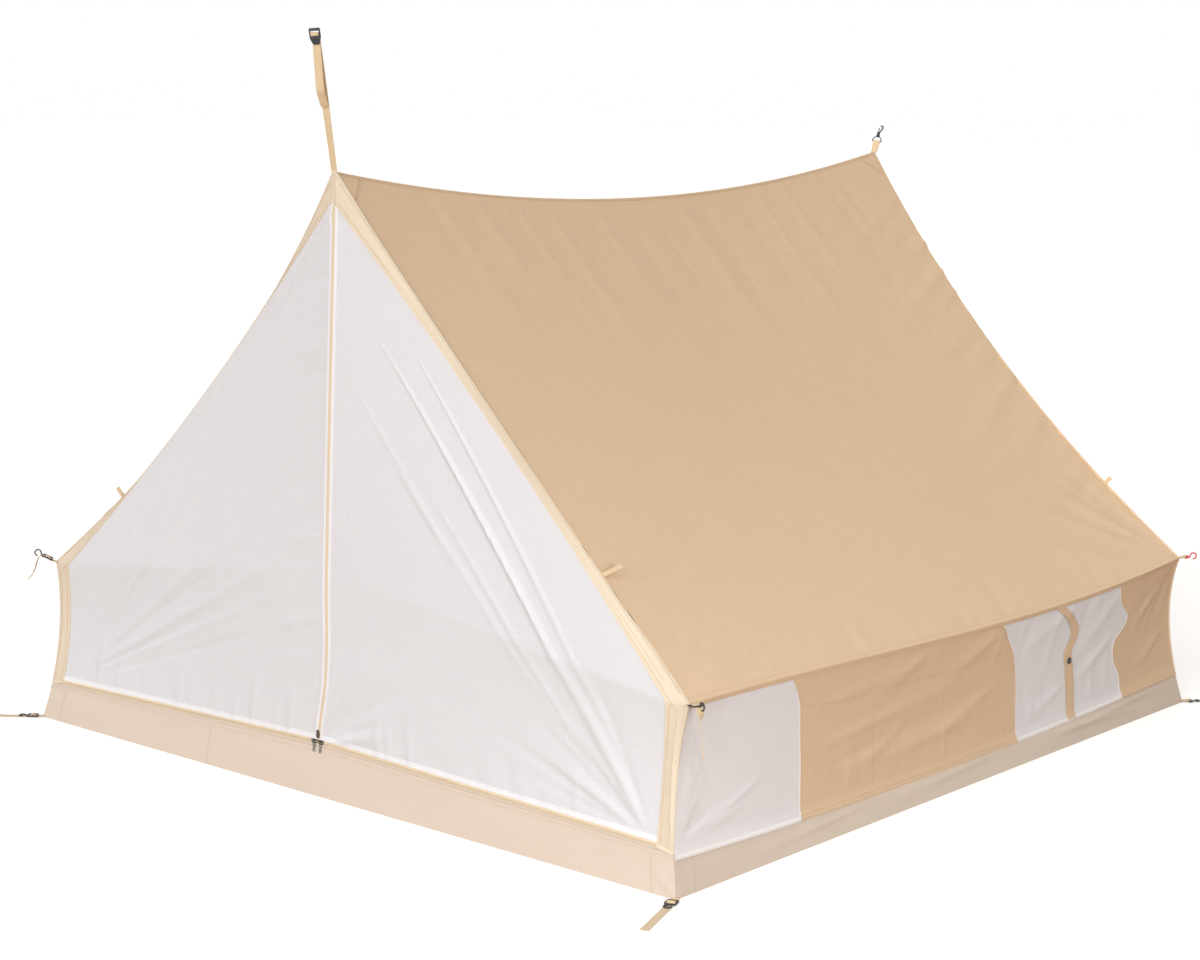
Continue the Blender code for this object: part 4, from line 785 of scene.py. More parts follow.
def tub_wall(wall):
    """One leaning wall of the tub. across runs round the tub, and up from the floor's edge to the rim."""
    foot, rim, length = TUB_WALLS[wall]

    def folds(points, across, up):
        calm = np.clip(np.minimum(across, 1 - across) / 0.006, 0, 1) * np.clip(4 * up * (1 - up), 0, 1)
        calm = calm * np.clip((0.84 - up) / 0.30, 0, 1)
        broad = 0.0012 * np.sin(across * length * 8.3) * np.sin(up * 3.1)
        return (fold_heights(across * length, up * TUB_HEIGHT, TUB_FOLDS[wall]) + broad) * calm

    return Cloth(lambda a, u: between(foot(a), rim(a), u), folds, TUB_MIDDLE)


def rear_cloth():
    def folds(points, across, up):
        calm = np.clip(across / 0.03, 0, 1) * np.clip((1 - across) / 0.03, 0, 1) * np.clip(up / 0.03, 0, 1)
        return fold_heights(points[..., 0], points[..., 2], REAR_FOLDS) * calm

    return Cloth(rear_surface, folds)


# Making pieces

def deselect():
    if bpy.context.object and bpy.context.object.mode != "OBJECT":
        bpy.ops.object.mode_set(mode="OBJECT")
    bpy.ops.object.select_all(action="DESELECT")


def choose(piece):
    deselect()
    piece.select_set(True)
    bpy.context.view_layer.objects.active = piece


def edited(piece, *steps):
    """Runs operators, each with its settings, on all of a piece in edit mode."""
    choose(piece)
    bpy.ops.object.mode_set(mode="EDIT")
    bpy.ops.mesh.select_all(action="SELECT")
    for operator, settings in steps:
        operator(**settings)
    bpy.ops.object.mode_set(mode="OBJECT")


def apply_modifier(piece, name, kind, **settings):
    choose(piece)
    modifier = piece.modifiers.new(name, kind)
    for setting, value in settings.items():
        setattr(modifier, setting, value)
    bpy.ops.object.modifier_apply(modifier=modifier.name)


def finish_piece(piece, paint, body="cabin", smooth=40.0):
    choose(piece)
    piece.data.materials.clear()
    piece.data.materials.append(bpy.data.materials[paint])
    bpy.ops.object.shade_smooth_by_angle(angle=math.radians(smooth))
    if body:
        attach(piece, body)
    return piece


def lay_uv(mesh, pairs):
    """Gives each vertex its place on the flat cloth, in metres."""
    layer = mesh.uv_layers.active or mesh.uv_layers.new(name="flat")
    corners = np.empty(len(mesh.loops), dtype=np.int32)
    mesh.loops.foreach_get("vertex_index", corners)
    layer.data.foreach_set("uv", pairs[corners].astype(np.float32).ravel())


def face_out(mesh, middle):
    """Turns the faces of an open sheet away from the tent's middle."""
    count = len(mesh.polygons)
    normals, centres = np.empty(count * 3), np.empty(count * 3)
    mesh.polygons.foreach_get("normal", normals)
    mesh.polygons.foreach_get("center", centres)
    facing = np.sum(normals.reshape(-1, 3) * (centres.reshape(-1, 3) - middle), axis=1)
    if facing.sum() < 0:
        mesh.flip_normals()


def flat_side(points, across, up):
    return points[:, 1:3]


def flat_front(points, across, up):
    return points[:, ::2]


def grid_sheet(name, columns, rows, place, flat, thickness=None, middle=MIDDLE):
    """A grid whose points are placed by place(across, up), with its flat pattern as its UV map, then thickened."""
    deselect()
    bpy.ops.mesh.primitive_grid_add(x_subdivisions=columns, y_subdivisions=rows, size=1)
    piece = bpy.context.active_object
    piece.name = piece.data.name = name
    mesh = piece.data
    grid = np.empty(len(mesh.vertices) * 3)
    mesh.vertices.foreach_get("co", grid)
    grid = grid.reshape(-1, 3) + 0.5
    across, up = grid[:, 0], grid[:, 1]
    points = place(across, up)
    mesh.vertices.foreach_set("co", points.ravel())
    mesh.update()
    lay_uv(mesh, flat(points, across, up))
    face_out(mesh, middle)
    apply_modifier(
        piece, "thickness", "SOLIDIFY", thickness=sizes().cloth if thickness is None else thickness, offset=-1.0,
    )
    return piece


def straight(across, up):
    """A line over a cloth. across and up are each one value, or a start and how far it runs from there."""
    (a, run_a), (u, run_u) = (value if isinstance(value, tuple) else (value, 0.0) for value in (across, up))
    return lambda s: (a + run_a * s, u + run_u * s)


def strip(name, cloth, first, last, grid, lift, paint, body="cabin", flat=flat_front, thickness=None):
    """A narrow strip on a cloth between two lines, divided along and across as grid says."""
    steps, columns = grid

    def place(width, length):
        (a0, u0), (a1, u1) = first(length), last(length)
        return cloth.at(a0 + (a1 - a0) * width, u0 + (u1 - u0) * width, lift)

    piece = grid_sheet(name, columns, steps, place, flat, thickness, cloth.middle)
    return finish_piece(piece, paint, body)


def mesh_piece(name, points, faces, pairs):
    mesh = bpy.data.meshes.new(name)
    mesh.from_pydata(np.asarray(points).tolist(), [], faces)
    mesh.update()
    lay_uv(mesh, np.asarray(pairs))
    piece = bpy.data.objects.new(name, mesh)
    bpy.context.scene.collection.objects.link(piece)
    return piece


def small_shape(segments, rings, size):
    """Models one small rounded bar, and gives its points and faces for copying."""
    deselect()
    bpy.ops.mesh.primitive_uv_sphere_add(segments=segments, ring_count=rings, radius=0.5)
    piece = bpy.context.active_object
    origin = (0, 0, 0)
    edited(
        piece,
        (bpy.ops.transform.rotate, {"value": math.pi / 2, "orient_axis": "Y", "center_override": origin}),
        (bpy.ops.transform.resize, {"value": size, "center_override": origin}),
    )
    mesh = piece.data
    points = np.array([vertex.co for vertex in mesh.vertices])
    faces = [list(face.vertices) for face in mesh.polygons]
    bpy.data.objects.remove(piece)
    bpy.data.meshes.remove(mesh)
    return points, faces


def copied(name, shape, places, ahead, out, paint, body):
    """Copies one small shape to each place, with X ahead and Z out, as one piece."""
    points, faces = shape
    beside = unit(np.cross(out, ahead))
    out = unit(np.cross(ahead, beside))
    moved = places[:, None, :] + (
        points[None, :, :1] * ahead[:, None, :] + points[None, :, 1:2] * beside[:, None, :]
        + points[None, :, 2:] * out[:, None, :]
    )
    count = len(points)
    every = [[index + count * copy for index in face] for copy in range(len(places)) for face in faces]
    piece = mesh_piece(name, moved.reshape(-1, 3), every, moved.reshape(-1, 3)[:, :2])
    return finish_piece(piece, paint, body, smooth=60.0)


def evenly_along(cloth, line, pitch, lift):
    """Places at a pitch along a line on a cloth, with the way ahead and the way out."""
    share = np.linspace(0, 1, 600)
    path = cloth.at(*line(share), lift)
    steps = np.concatenate(([0], np.cumsum(np.linalg.norm(np.diff(path, axis=0), axis=1))))
    count = max(2, int(steps[-1] / pitch))
    places = (np.arange(count) + 0.5) / count * steps[-1]
    share = np.interp(places, steps, share)
    tiny = 0.0004
    ahead = cloth.at(*line(np.minimum(share + tiny, 1)), lift) - cloth.at(*line(np.maximum(share - tiny, 0)), lift)
    return cloth.at(*line(share), lift), unit(ahead), cloth.out(*line(share))


def stitched(name, seams, paint="thread", body="cabin"):
    """Rows of stitches, as one piece. seams holds (cloth, line, lift) for each row."""
    rows = [evenly_along(cloth, line, sizes().stitch, lift) for cloth, line, lift in seams]
    places, ahead, out = (np.concatenate(parts) for parts in zip(*rows))
    shape = small_shape(5, 3, (sizes().stitch * STITCH_SHARE, *STITCH_SECTION))
    return copied(name, shape, places, ahead, out, paint, body)


def sweep(path, widths, heights, across, sides):
    """Points, faces and flat pattern of a closed bar. across gives the way its width lies at each point."""
    path = np.asarray(path, float)
    ahead = unit(np.gradient(path, axis=0))
    across = unit(np.broadcast_to(across, path.shape) - np.sum(across * ahead, axis=1, keepdims=True) * ahead)
    out = np.cross(across, ahead)
    turn = (np.arange(sides) + 0.5) / sides * 2 * np.pi
    flat, tall = (np.sign(way) * np.abs(way) ** SWEEP_SQUARENESS for way in (np.cos(turn), np.sin(turn)))
    widths = np.broadcast_to(widths, (len(path),))
    heights = np.broadcast_to(heights, (len(path),))
    rings = (
        path[:, None, :] + across[:, None, :] * (flat[None, :, None] * widths[:, None, None] / 2)
        + out[:, None, :] * (tall[None, :, None] * heights[:, None, None] / 2)
    )
    run = np.concatenate(([0], np.cumsum(np.linalg.norm(np.diff(path, axis=0), axis=1))))
    pairs = np.stack((np.repeat(run, sides), (flat[None, :] * widths[:, None] / 2).ravel()), axis=-1)
    faces = []
    for ring in range(len(path) - 1):
        for side in range(sides):
            low, following = ring * sides + side, ring * sides + (side + 1) % sides
            faces.append([low, following, following + sides, low + sides])
    faces.append(list(range(sides))[::-1])
    faces.append([(len(path) - 1) * sides + side for side in range(sides)])
    return rings.reshape(-1, 3), faces, pairs


def smoothed(path):
    """A path with curved runs between its points."""
    path = np.asarray(path, float)
    ends = np.concatenate((path[:1] * 2 - path[1:2], path, path[-1:] * 2 - path[-2:-1]))
    points = []
    for index in range(len(path) - 1):
        before, first, second, after = ends[index:index + 4]
        for share in np.arange(CURVE_STEPS) / CURVE_STEPS:
            points.append(0.5 * (
                2 * first + (second - before) * share + (2 * before - 5 * first + 4 * second - after) * share ** 2
                + (3 * first - before - 3 * second + after) * share ** 3
            ))
    return np.array([*points, path[-1]])


def swept_piece(name, path, widths, heights, across, sides, paint, body="cabin"):
    piece = mesh_piece(name, *sweep(path, widths, heights, across, sides))
    edited(piece, (bpy.ops.mesh.normals_make_consistent, {"inside": False}))
    return finish_piece(piece, paint, body, smooth=50)


# Materials

def node_group(name, inputs, outputs):
    group = bpy.data.node_groups.new(name, "ShaderNodeTree")
    for socket, kind, value in inputs:
        made = group.interface.new_socket(name=socket, in_out="INPUT", socket_type=kind)
        if value is not None:
            made.default_value = value
    for socket, kind in outputs:
        group.interface.new_socket(name=socket, in_out="OUTPUT", socket_type=kind)
    return group, group.nodes.new("NodeGroupInput"), group.nodes.new("NodeGroupOutput")


def node(tree, kind, settings=None, **inputs):
    """A node with its settings, and its inputs set or linked by name, where _ stands for a space."""
    made = tree.nodes.new(kind)
    for setting, value in (settings or {}).items():
        setattr(made, setting, value)
    for name, value in inputs.items():
        numbered = name[0] == "i" and name[1:].isdigit()
        socket = made.inputs[int(name[1:]) if numbered else name.replace("_", " ")]
        if isinstance(value, bpy.types.NodeSocket):
            tree.links.new(value, socket)
        else:
            socket.default_value = value
    return made


def calc(tree, operation, first, second=0.0):
    return node(tree, "ShaderNodeMath", {"operation": operation}, i0=first, i1=second).outputs[0]


def weave_group():
    """Threads over and under each other. Height is the threads' relief, Tone the light and dark of single yarns."""
    group, start, end = node_group(
        "woven threads",
        (("Vector", "NodeSocketVector", None), ("Pitch", "NodeSocketFloat", 0.0008), ("Slub", "NodeSocketFloat", 0.5)),
        (("Height", "NodeSocketFloat"), ("Tone", "NodeSocketFloat")),
    )
    size = calc(group, "DIVIDE", 0.31416, start.outputs["Pitch"])
    crossing = calc(group, "MAXIMUM", *(
        node(
            group, "ShaderNodeTexWave", {"wave_type": "BANDS", "wave_profile": "SIN", "bands_direction": way},
            Vector=start.outputs["Vector"], Scale=size, Distortion=0.6, Detail=1.0,
        ).outputs["Fac"] for way in "XY"
    ))
    yarns = []
    for stretch in ((260.0, 9.0, 1.0), (9.0, 260.0, 1.0)):
        mapped = node(group, "ShaderNodeMapping", Vector=start.outputs["Vector"], Scale=stretch)
        yarns.append(node(
            group, "ShaderNodeTexNoise", Vector=mapped.outputs["Vector"], Scale=1.0, Detail=2.0,
        ).outputs["Fac"])
    slub = calc(group, "SUBTRACT", calc(group, "ADD", *yarns), 1.0)
    slub = calc(group, "MULTIPLY", slub, start.outputs["Slub"])
    group.links.new(calc(group, "ADD", crossing, slub), end.inputs["Height"])
    group.links.new(calc(group, "ADD", slub, 0.5), end.inputs["Tone"])


def wear_group():
    """Broad unevenness of cloth that has been packed and hung: soft shade, and a low swell."""
    group, start, end = node_group(
        "hung cloth",
        (("Vector", "NodeSocketVector", None), ("Size", "NodeSocketFloat", 3.0)),
        (("Shade", "NodeSocketFloat"), ("Swell", "NodeSocketFloat")),
    )
    broad = node(
        group, "ShaderNodeTexNoise", Vector=start.outputs["Vector"], Scale=start.outputs["Size"], Detail=3.0,
        Roughness=0.5,
    )
    fine = node(
        group, "ShaderNodeTexNoise", Vector=start.outputs["Vector"],
        Scale=calc(group, "MULTIPLY", start.outputs["Size"], 9.0), Detail=2.0, Distortion=0.4,
    )
    both = calc(group, "ADD", calc(group, "MULTIPLY", broad.outputs["Fac"], 0.6), calc(
        group, "MULTIPLY", fine.outputs["Fac"], 0.4,
    ))
    group.links.new(both, end.inputs["Shade"])
    group.links.new(fine.outputs["Fac"], end.inputs["Swell"])


def new_finish(name, value=None):
    made = bpy.data.materials.new(name)
    made.use_nodes = True
    if value is not None:
        made.diffuse_color = (*value, 1)
    return made.node_tree, made.node_tree.nodes["Principled BSDF"]


def cloth_finish(name, value, pitch, slub, shade, thread_bump, swell_bump, roughness, sheen, size=3.0, alpha=None):
    """A woven cloth: yarns in colour and relief, broad shade, and a soft sheen."""
    tree, shader = new_finish(name, value)
    flat = node(tree, "ShaderNodeTexCoord").outputs
    weave = node(
        tree, "ShaderNodeGroup", {"node_tree": bpy.data.node_groups["woven threads"]}, Vector=flat["UV"], Pitch=pitch,
        Slub=slub,
    )
    wear = node(
        tree, "ShaderNodeGroup", {"node_tree": bpy.data.node_groups["hung cloth"]}, Vector=flat["Object"], Size=size,
    )
    tone = calc(tree, "SUBTRACT", weave.outputs["Tone"], 0.5)
    tone = calc(tree, "ADD", tone, calc(tree, "MULTIPLY", calc(tree, "SUBTRACT", wear.outputs["Shade"], 0.5), shade))
    tone = calc(tree, "ADD", tone, 1.0)
    shades = node(tree, "ShaderNodeCombineColor", Red=tone, Green=tone, Blue=tone)
    base = node(
        tree, "ShaderNodeMix", {"data_type": "RGBA", "blend_type": "MULTIPLY"}, i0=1.0, i6=(*value, 1.0),
        i7=shades.outputs["Color"],
    )
    tree.links.new(base.outputs[2], shader.inputs["Base Color"])
    swell = node(tree, "ShaderNodeBump", Height=wear.outputs["Swell"], Strength=1.0, Distance=swell_bump)
    threads = node(
        tree, "ShaderNodeBump", Height=weave.outputs["Height"], Strength=1.0, Distance=thread_bump,
        Normal=swell.outputs["Normal"],
    )
    tree.links.new(threads.outputs["Normal"], shader.inputs["Normal"])
    for socket, level in (
        ("Roughness", roughness), ("Sheen Weight", sheen), ("Sheen Roughness", 0.5), ("Specular IOR Level", 0.2),
    ):
        shader.inputs[socket].default_value = level
    if alpha:
        solid = node(
            tree, "ShaderNodeMapRange", Value=weave.outputs["Height"], From_Min=0.3, From_Max=1.2, To_Min=alpha[0],
            To_Max=alpha[1],
        )
        tree.links.new(solid.outputs["Result"], shader.inputs["Alpha"])


def moulded_finish(name, value, roughness, grain, metallic=0.0, edge=(0.0, 0.0, 0.0)):
    """Moulded plastic or cast metal: a fine grain, and duller and paler patches from handling."""
    tree, shader = new_finish(name, value)
    where = node(tree, "ShaderNodeTexCoord").outputs["Object"]
    grains = node(tree, "ShaderNodeTexNoise", Vector=where, Scale=2200.0, Detail=2.0)
    patches = node(tree, "ShaderNodeTexNoise", Vector=where, Scale=90.0, Detail=3.0)
    mixed = node(
        tree, "ShaderNodeMix", {"data_type": "RGBA"}, i0=calc(tree, "MULTIPLY", patches.outputs["Fac"], 0.5),
        i6=(*value, 1.0), i7=(*(min(1.0, part + rise) for part, rise in zip(value, edge)), 1.0),
    )
    tree.links.new(mixed.outputs[2], shader.inputs["Base Color"])
    rough = node(
        tree, "ShaderNodeMapRange", Value=patches.outputs["Fac"], From_Min=0.3, From_Max=0.7,
        To_Min=roughness * 0.85, To_Max=roughness * 1.2,
    )
    tree.links.new(rough.outputs["Result"], shader.inputs["Roughness"])
    bump = node(tree, "ShaderNodeBump", Height=grains.outputs["Fac"], Strength=1.0, Distance=grain)
    tree.links.new(bump.outputs["Normal"], shader.inputs["Normal"])
    shader.inputs["Metallic"].default_value = metallic


class TENT_OT_materials(bpy.types.Operator):
    """Make the cloth, plastic and metal finishes"""

    bl_idname = "tent.materials"
    bl_label = "Materials"

    def execute(self, context):
        weave_group()
        wear_group()
        value = colours()
        for name, shade, weave, alpha in (
            ("roof cotton", value.roof, "roof", None), ("binding cotton", value.binding, "binding", None),
            ("binding hem", value.hem_cotton, "binding", None), ("painted seam shade", PAINTED_SEAM_SHADE, "shade", None),
            ("painted peak shadow", PAINTED_PEAK_SHADOW, "shade", None), ("net", value.net, "net", DOOR_NET_COVER),
            ("side net", value.side_net, "net", SIDE_NET_COVER), ("white hem", value.hem, "hem", None),
            ("side hem", SIDE_HEM, "hem", None), ("tub cloth", value.tub, "tub", None),
            ("woven webbing", value.webbing, "webbing", None), ("zip tape", value.zip, "tape", None),
            ("thread", value.thread, "thread", None), ("tub thread", TUB_THREAD, "thread", None),
            ("white thread", WHITE_THREAD, "thread", None),
        ):
            cloth_finish(name, shade, *WEAVES[weave], alpha=alpha)
        moulded_finish("coil", tuple(value.zip), 0.45, 0.00003)
        for row in MOULDED:
            moulded_finish(*row)
        return {"FINISHED"}


# Camera, light and floor

class TENT_OT_stage(bpy.types.Operator):
    """Add the camera, the soft lights and the pale floor"""

    bl_idname = "tent.stage"
    bl_label = "Stage"

    def execute(self, context):
        scene = context.scene
        deselect()
        self.camera(scene)
        for name, heading, strength, softness in SUNS:
            lamp = self.lamp(name, "SUN", (0, 0, 0), Vector(heading), strength)
            lamp.data.angle = math.radians(softness)
        lamp = self.lamp("side", "AREA", SIDE_LAMP, Vector(SIDE_LAMP) - Vector(SIDE_LAMP_AIM), SIDE_LAMP_POWER)
        lamp.data.size = SIDE_LAMP_SIZE
        lamp.data.color = SIDE_LAMP_COLOUR
        lamp.visible_camera = False
        self.sky(scene)
        deselect()
        bpy.ops.mesh.primitive_plane_add(size=80)
        floor = context.active_object
        floor.name = "studio_floor"
        self.floor_finish()
        floor.data.materials.append(bpy.data.materials["studio floor"])
        scene.view_settings.view_transform = "Standard"
        return {"FINISHED"}

    def camera(self, scene):
        yaw, pitch, roll = sizes().camera_turn, CAMERA_PITCH, CAMERA_ROLL
        forward = Vector((-math.sin(yaw) * math.cos(pitch), math.cos(yaw) * math.cos(pitch), -math.sin(pitch)))
        right = Vector((math.cos(yaw), math.sin(yaw), 0))
        up = right.cross(forward)
        turned_right = right * math.cos(roll) + up * math.sin(roll)
        turned_up = up * math.cos(roll) - right * math.sin(roll)
        bpy.ops.object.camera_add()
        camera = bpy.context.active_object
        camera.name = "camera"
        turned = Matrix((turned_right, turned_up, -forward)).transposed().to_4x4()
        camera.matrix_world = Matrix.Translation(CAMERA_PLACE) @ turned
        camera.data.lens = CAMERA_LENS
        camera.data.sensor_width = 36
        scene.camera = camera

    def lamp(self, name, kind, place, heading, strength):
        deselect()
        bpy.ops.object.light_add(type=kind, location=place)
        lamp = bpy.context.active_object
        lamp.name = name
        lamp.data.energy = strength
        lamp.rotation_euler = heading.to_track_quat("Z", "Y").to_euler()
        return lamp

    def seen(self, tree):
        """1 for rays that show the background, in the view, a reflection or through something."""
        paths = node(tree, "ShaderNodeLightPath").outputs
        either = calc(tree, "MAXIMUM", paths["Is Camera Ray"], paths["Is Glossy Ray"])
        return calc(tree, "MAXIMUM", either, paths["Is Transmission Ray"])

    def sky(self, scene):
        world = bpy.data.worlds.new("studio")
        scene.world = world
        world.use_nodes = True
        tree = world.node_tree
        background = tree.nodes["Background"]
        seen = self.seen(tree)
        tint = node(tree, "ShaderNodeMix", {"data_type": "RGBA"}, i0=seen, i6=SKY_TINT, i7=(1.0, 1.0, 1.0, 1.0))
        tree.links.new(tint.outputs[2], background.inputs["Color"])
        level = node(tree, "ShaderNodeMapRange", Value=seen, To_Min=SKY_LEVEL, To_Max=1.0)
        tree.links.new(level.outputs["Result"], background.inputs["Strength"])

    def floor_finish(self):
        tree, shader = new_finish("studio floor")
        where = node(tree, "ShaderNodeTexCoord").outputs["Object"]
        speck = node(tree, "ShaderNodeTexNoise", Vector=where, Scale=900.0, Detail=2.0)
        tone = node(
            tree, "ShaderNodeMapRange", Value=speck.outputs["Fac"], To_Min=FLOOR_TONE[0], To_Max=FLOOR_TONE[1],
        ).outputs["Result"]
        paint = node(tree, "ShaderNodeCombineColor", Red=tone, Green=tone, Blue=tone)
        mixed = node(
            tree, "ShaderNodeMix", {"data_type": "RGBA"}, i0=self.seen(tree), i6=FLOOR_BOUNCE,
            i7=paint.outputs["Color"],
        )
        tree.links.new(mixed.outputs[2], shader.inputs["Base Color"])
        shader.inputs["Roughness"].default_value = 0.9
        shader.inputs["Specular IOR Level"].default_value = 0.1
        shader.inputs["Emission Color"].default_value = (1, 1, 1, 1)
        tree.links.new(calc(tree, "MULTIPLY", self.seen(tree), FLOOR_GLOW), shader.inputs["Emission Strength"])


# Cloth panels

class TENT_OT_roof(bpy.types.Operator):
    """Stretch the roof over the ridge in one sheet"""

    bl_idname = "tent.roof"
    bl_label = "Roof"

    def execute(self, context):
        cloth = roof_cloth()
        piece = grid_sheet(
            "roof_cloth", 208, 230,
            lambda across, over: cloth.at(0.0006 + 0.9988 * across ** ROOF_GRID_FORWARD, (2 * over - 1) * 0.999),
            lambda points, across, over: spread(points[:, 1], (2 * over - 1) * SLOPE),
        )
        finish_piece(piece, "roof cotton", smooth=50)
        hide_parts("left_roof", "right_roof")
        seams = self.seams(cloth)
        return {"FINISHED"}

    def seams(self, cloth):
        """A felled seam along the ridge with a strip of painted shade beside it, a folded band along each eave, a hem
        at each gable, and the apex patches.
        """
        level = lambda over: straight((0.002, 0.996), over)
        row = lambda over, lift: (cloth, straight((0.003, 0.994), over), lift)
        seams = [strip(
            "ridge_seam", cloth, level(-RIDGE_SEAM), level(RIDGE_SEAM), (220, 6), 0.0007, "roof cotton", flat=flat_side,
        )]
        for part, first, last, columns, lift, paint in (
            ("eave_band", *EAVE_BAND, 3, 0.0008, "roof cotton"),
            # The second row is a narrow strip of painted shade each side of the ridge seam, standing in for its shadow
            ("ridge_painted_shade", RIDGE_SEAM, RIDGE_SHADE, 2, 0.0004, "painted seam shade"),
        ):
            seams += [strip(
                f"{name}_{part}", cloth, level(side * first), level(side * last), (220, columns), lift, paint,
                flat=flat_side,
            ) for name, side in SIDES]
        for name, first in (("front", 0.0004), ("rear", 0.9996 - GABLE_HEM)):
            seams.append(strip(
                f"{name}_gable_hem", cloth, straight(first, (-1, 2)), straight(first + GABLE_HEM, (-1, 2)), (300, 3),
                0.0008, "roof cotton",
            ))
        rows = [row(over, 0.0014) for over in (-0.0030, 0.0030)]
        for end, first in (("front", 0.0), ("rear", 1.0)):
            for name, side in SIDES:
                line = self.apex_line(first, side)
                seams.append(strip(
                    f"{end}_{name}_apex_seam", cloth, line(0.0), line(0.0024), (30, 3), 0.0016, "roof cotton",
                ))
                rows.append((cloth, line(0.0004), 0.0019))
        rows += [row(over, 0.0010) for over in (-0.9983, -0.9925, 0.9925, 0.9983)]
        rows += [
            (cloth, straight(share, (side * 0.012, side * 0.982)), 0.0010)
            for share in (0.0036, 0.9964) for side in (-1, 1)
        ]
        seams.append(stitched("roof_stitches", rows))
        return seams

    def apex_line(self, first, side):
        """Lines over the corner of a reinforcing patch, each a step further out."""
        return lambda step: lambda s: (
            abs(first - (0.002 + (APEX_PATCH_RIDGE + step) * (1 - s))), side * (0.004 + (APEX_PATCH_GABLE + step) * s),
        )


class TENT_OT_edges(bpy.types.Operator):
    """Roll the seams where the roof, walls and bindings meet"""

    bl_idname = "tent.edges"
    bl_label = "Rolled seams"

    def execute(self, context):
        share = np.linspace(0, 1, 90)
        for name, side in SIDES:
            rolls = [(f"{name}_eave_roll", eave_edge(side, share), *EAVE_ROLL, (0, 0, 1), "roof cotton")]
            for place, end, paint in (("front", FRONT, "binding cotton"), ("rear", REAR, "roof cotton")):
                width, height = GABLE_ROLL
                height = height + PEAK_ROLL_RISE * np.clip((share - 0.90) / 0.07, 0, 1) * (end == FRONT)
                upright = corner_edge(side, end, -0.01 + 1.01 * share)
                rolls += [
                    (f"{place}_{name}_gable_roll", gable_edge(side, end, share), width, height, (0, 1, 0), paint),
                    (f"{place}_{name}_corner_roll", upright, *CORNER_ROLL, (1, 0, 0), paint),
                ]
            for piece, path, width, height, across, paint in rolls:
                swept_piece(piece, path, width, height, across, 8, paint)
        return {"FINISHED"}


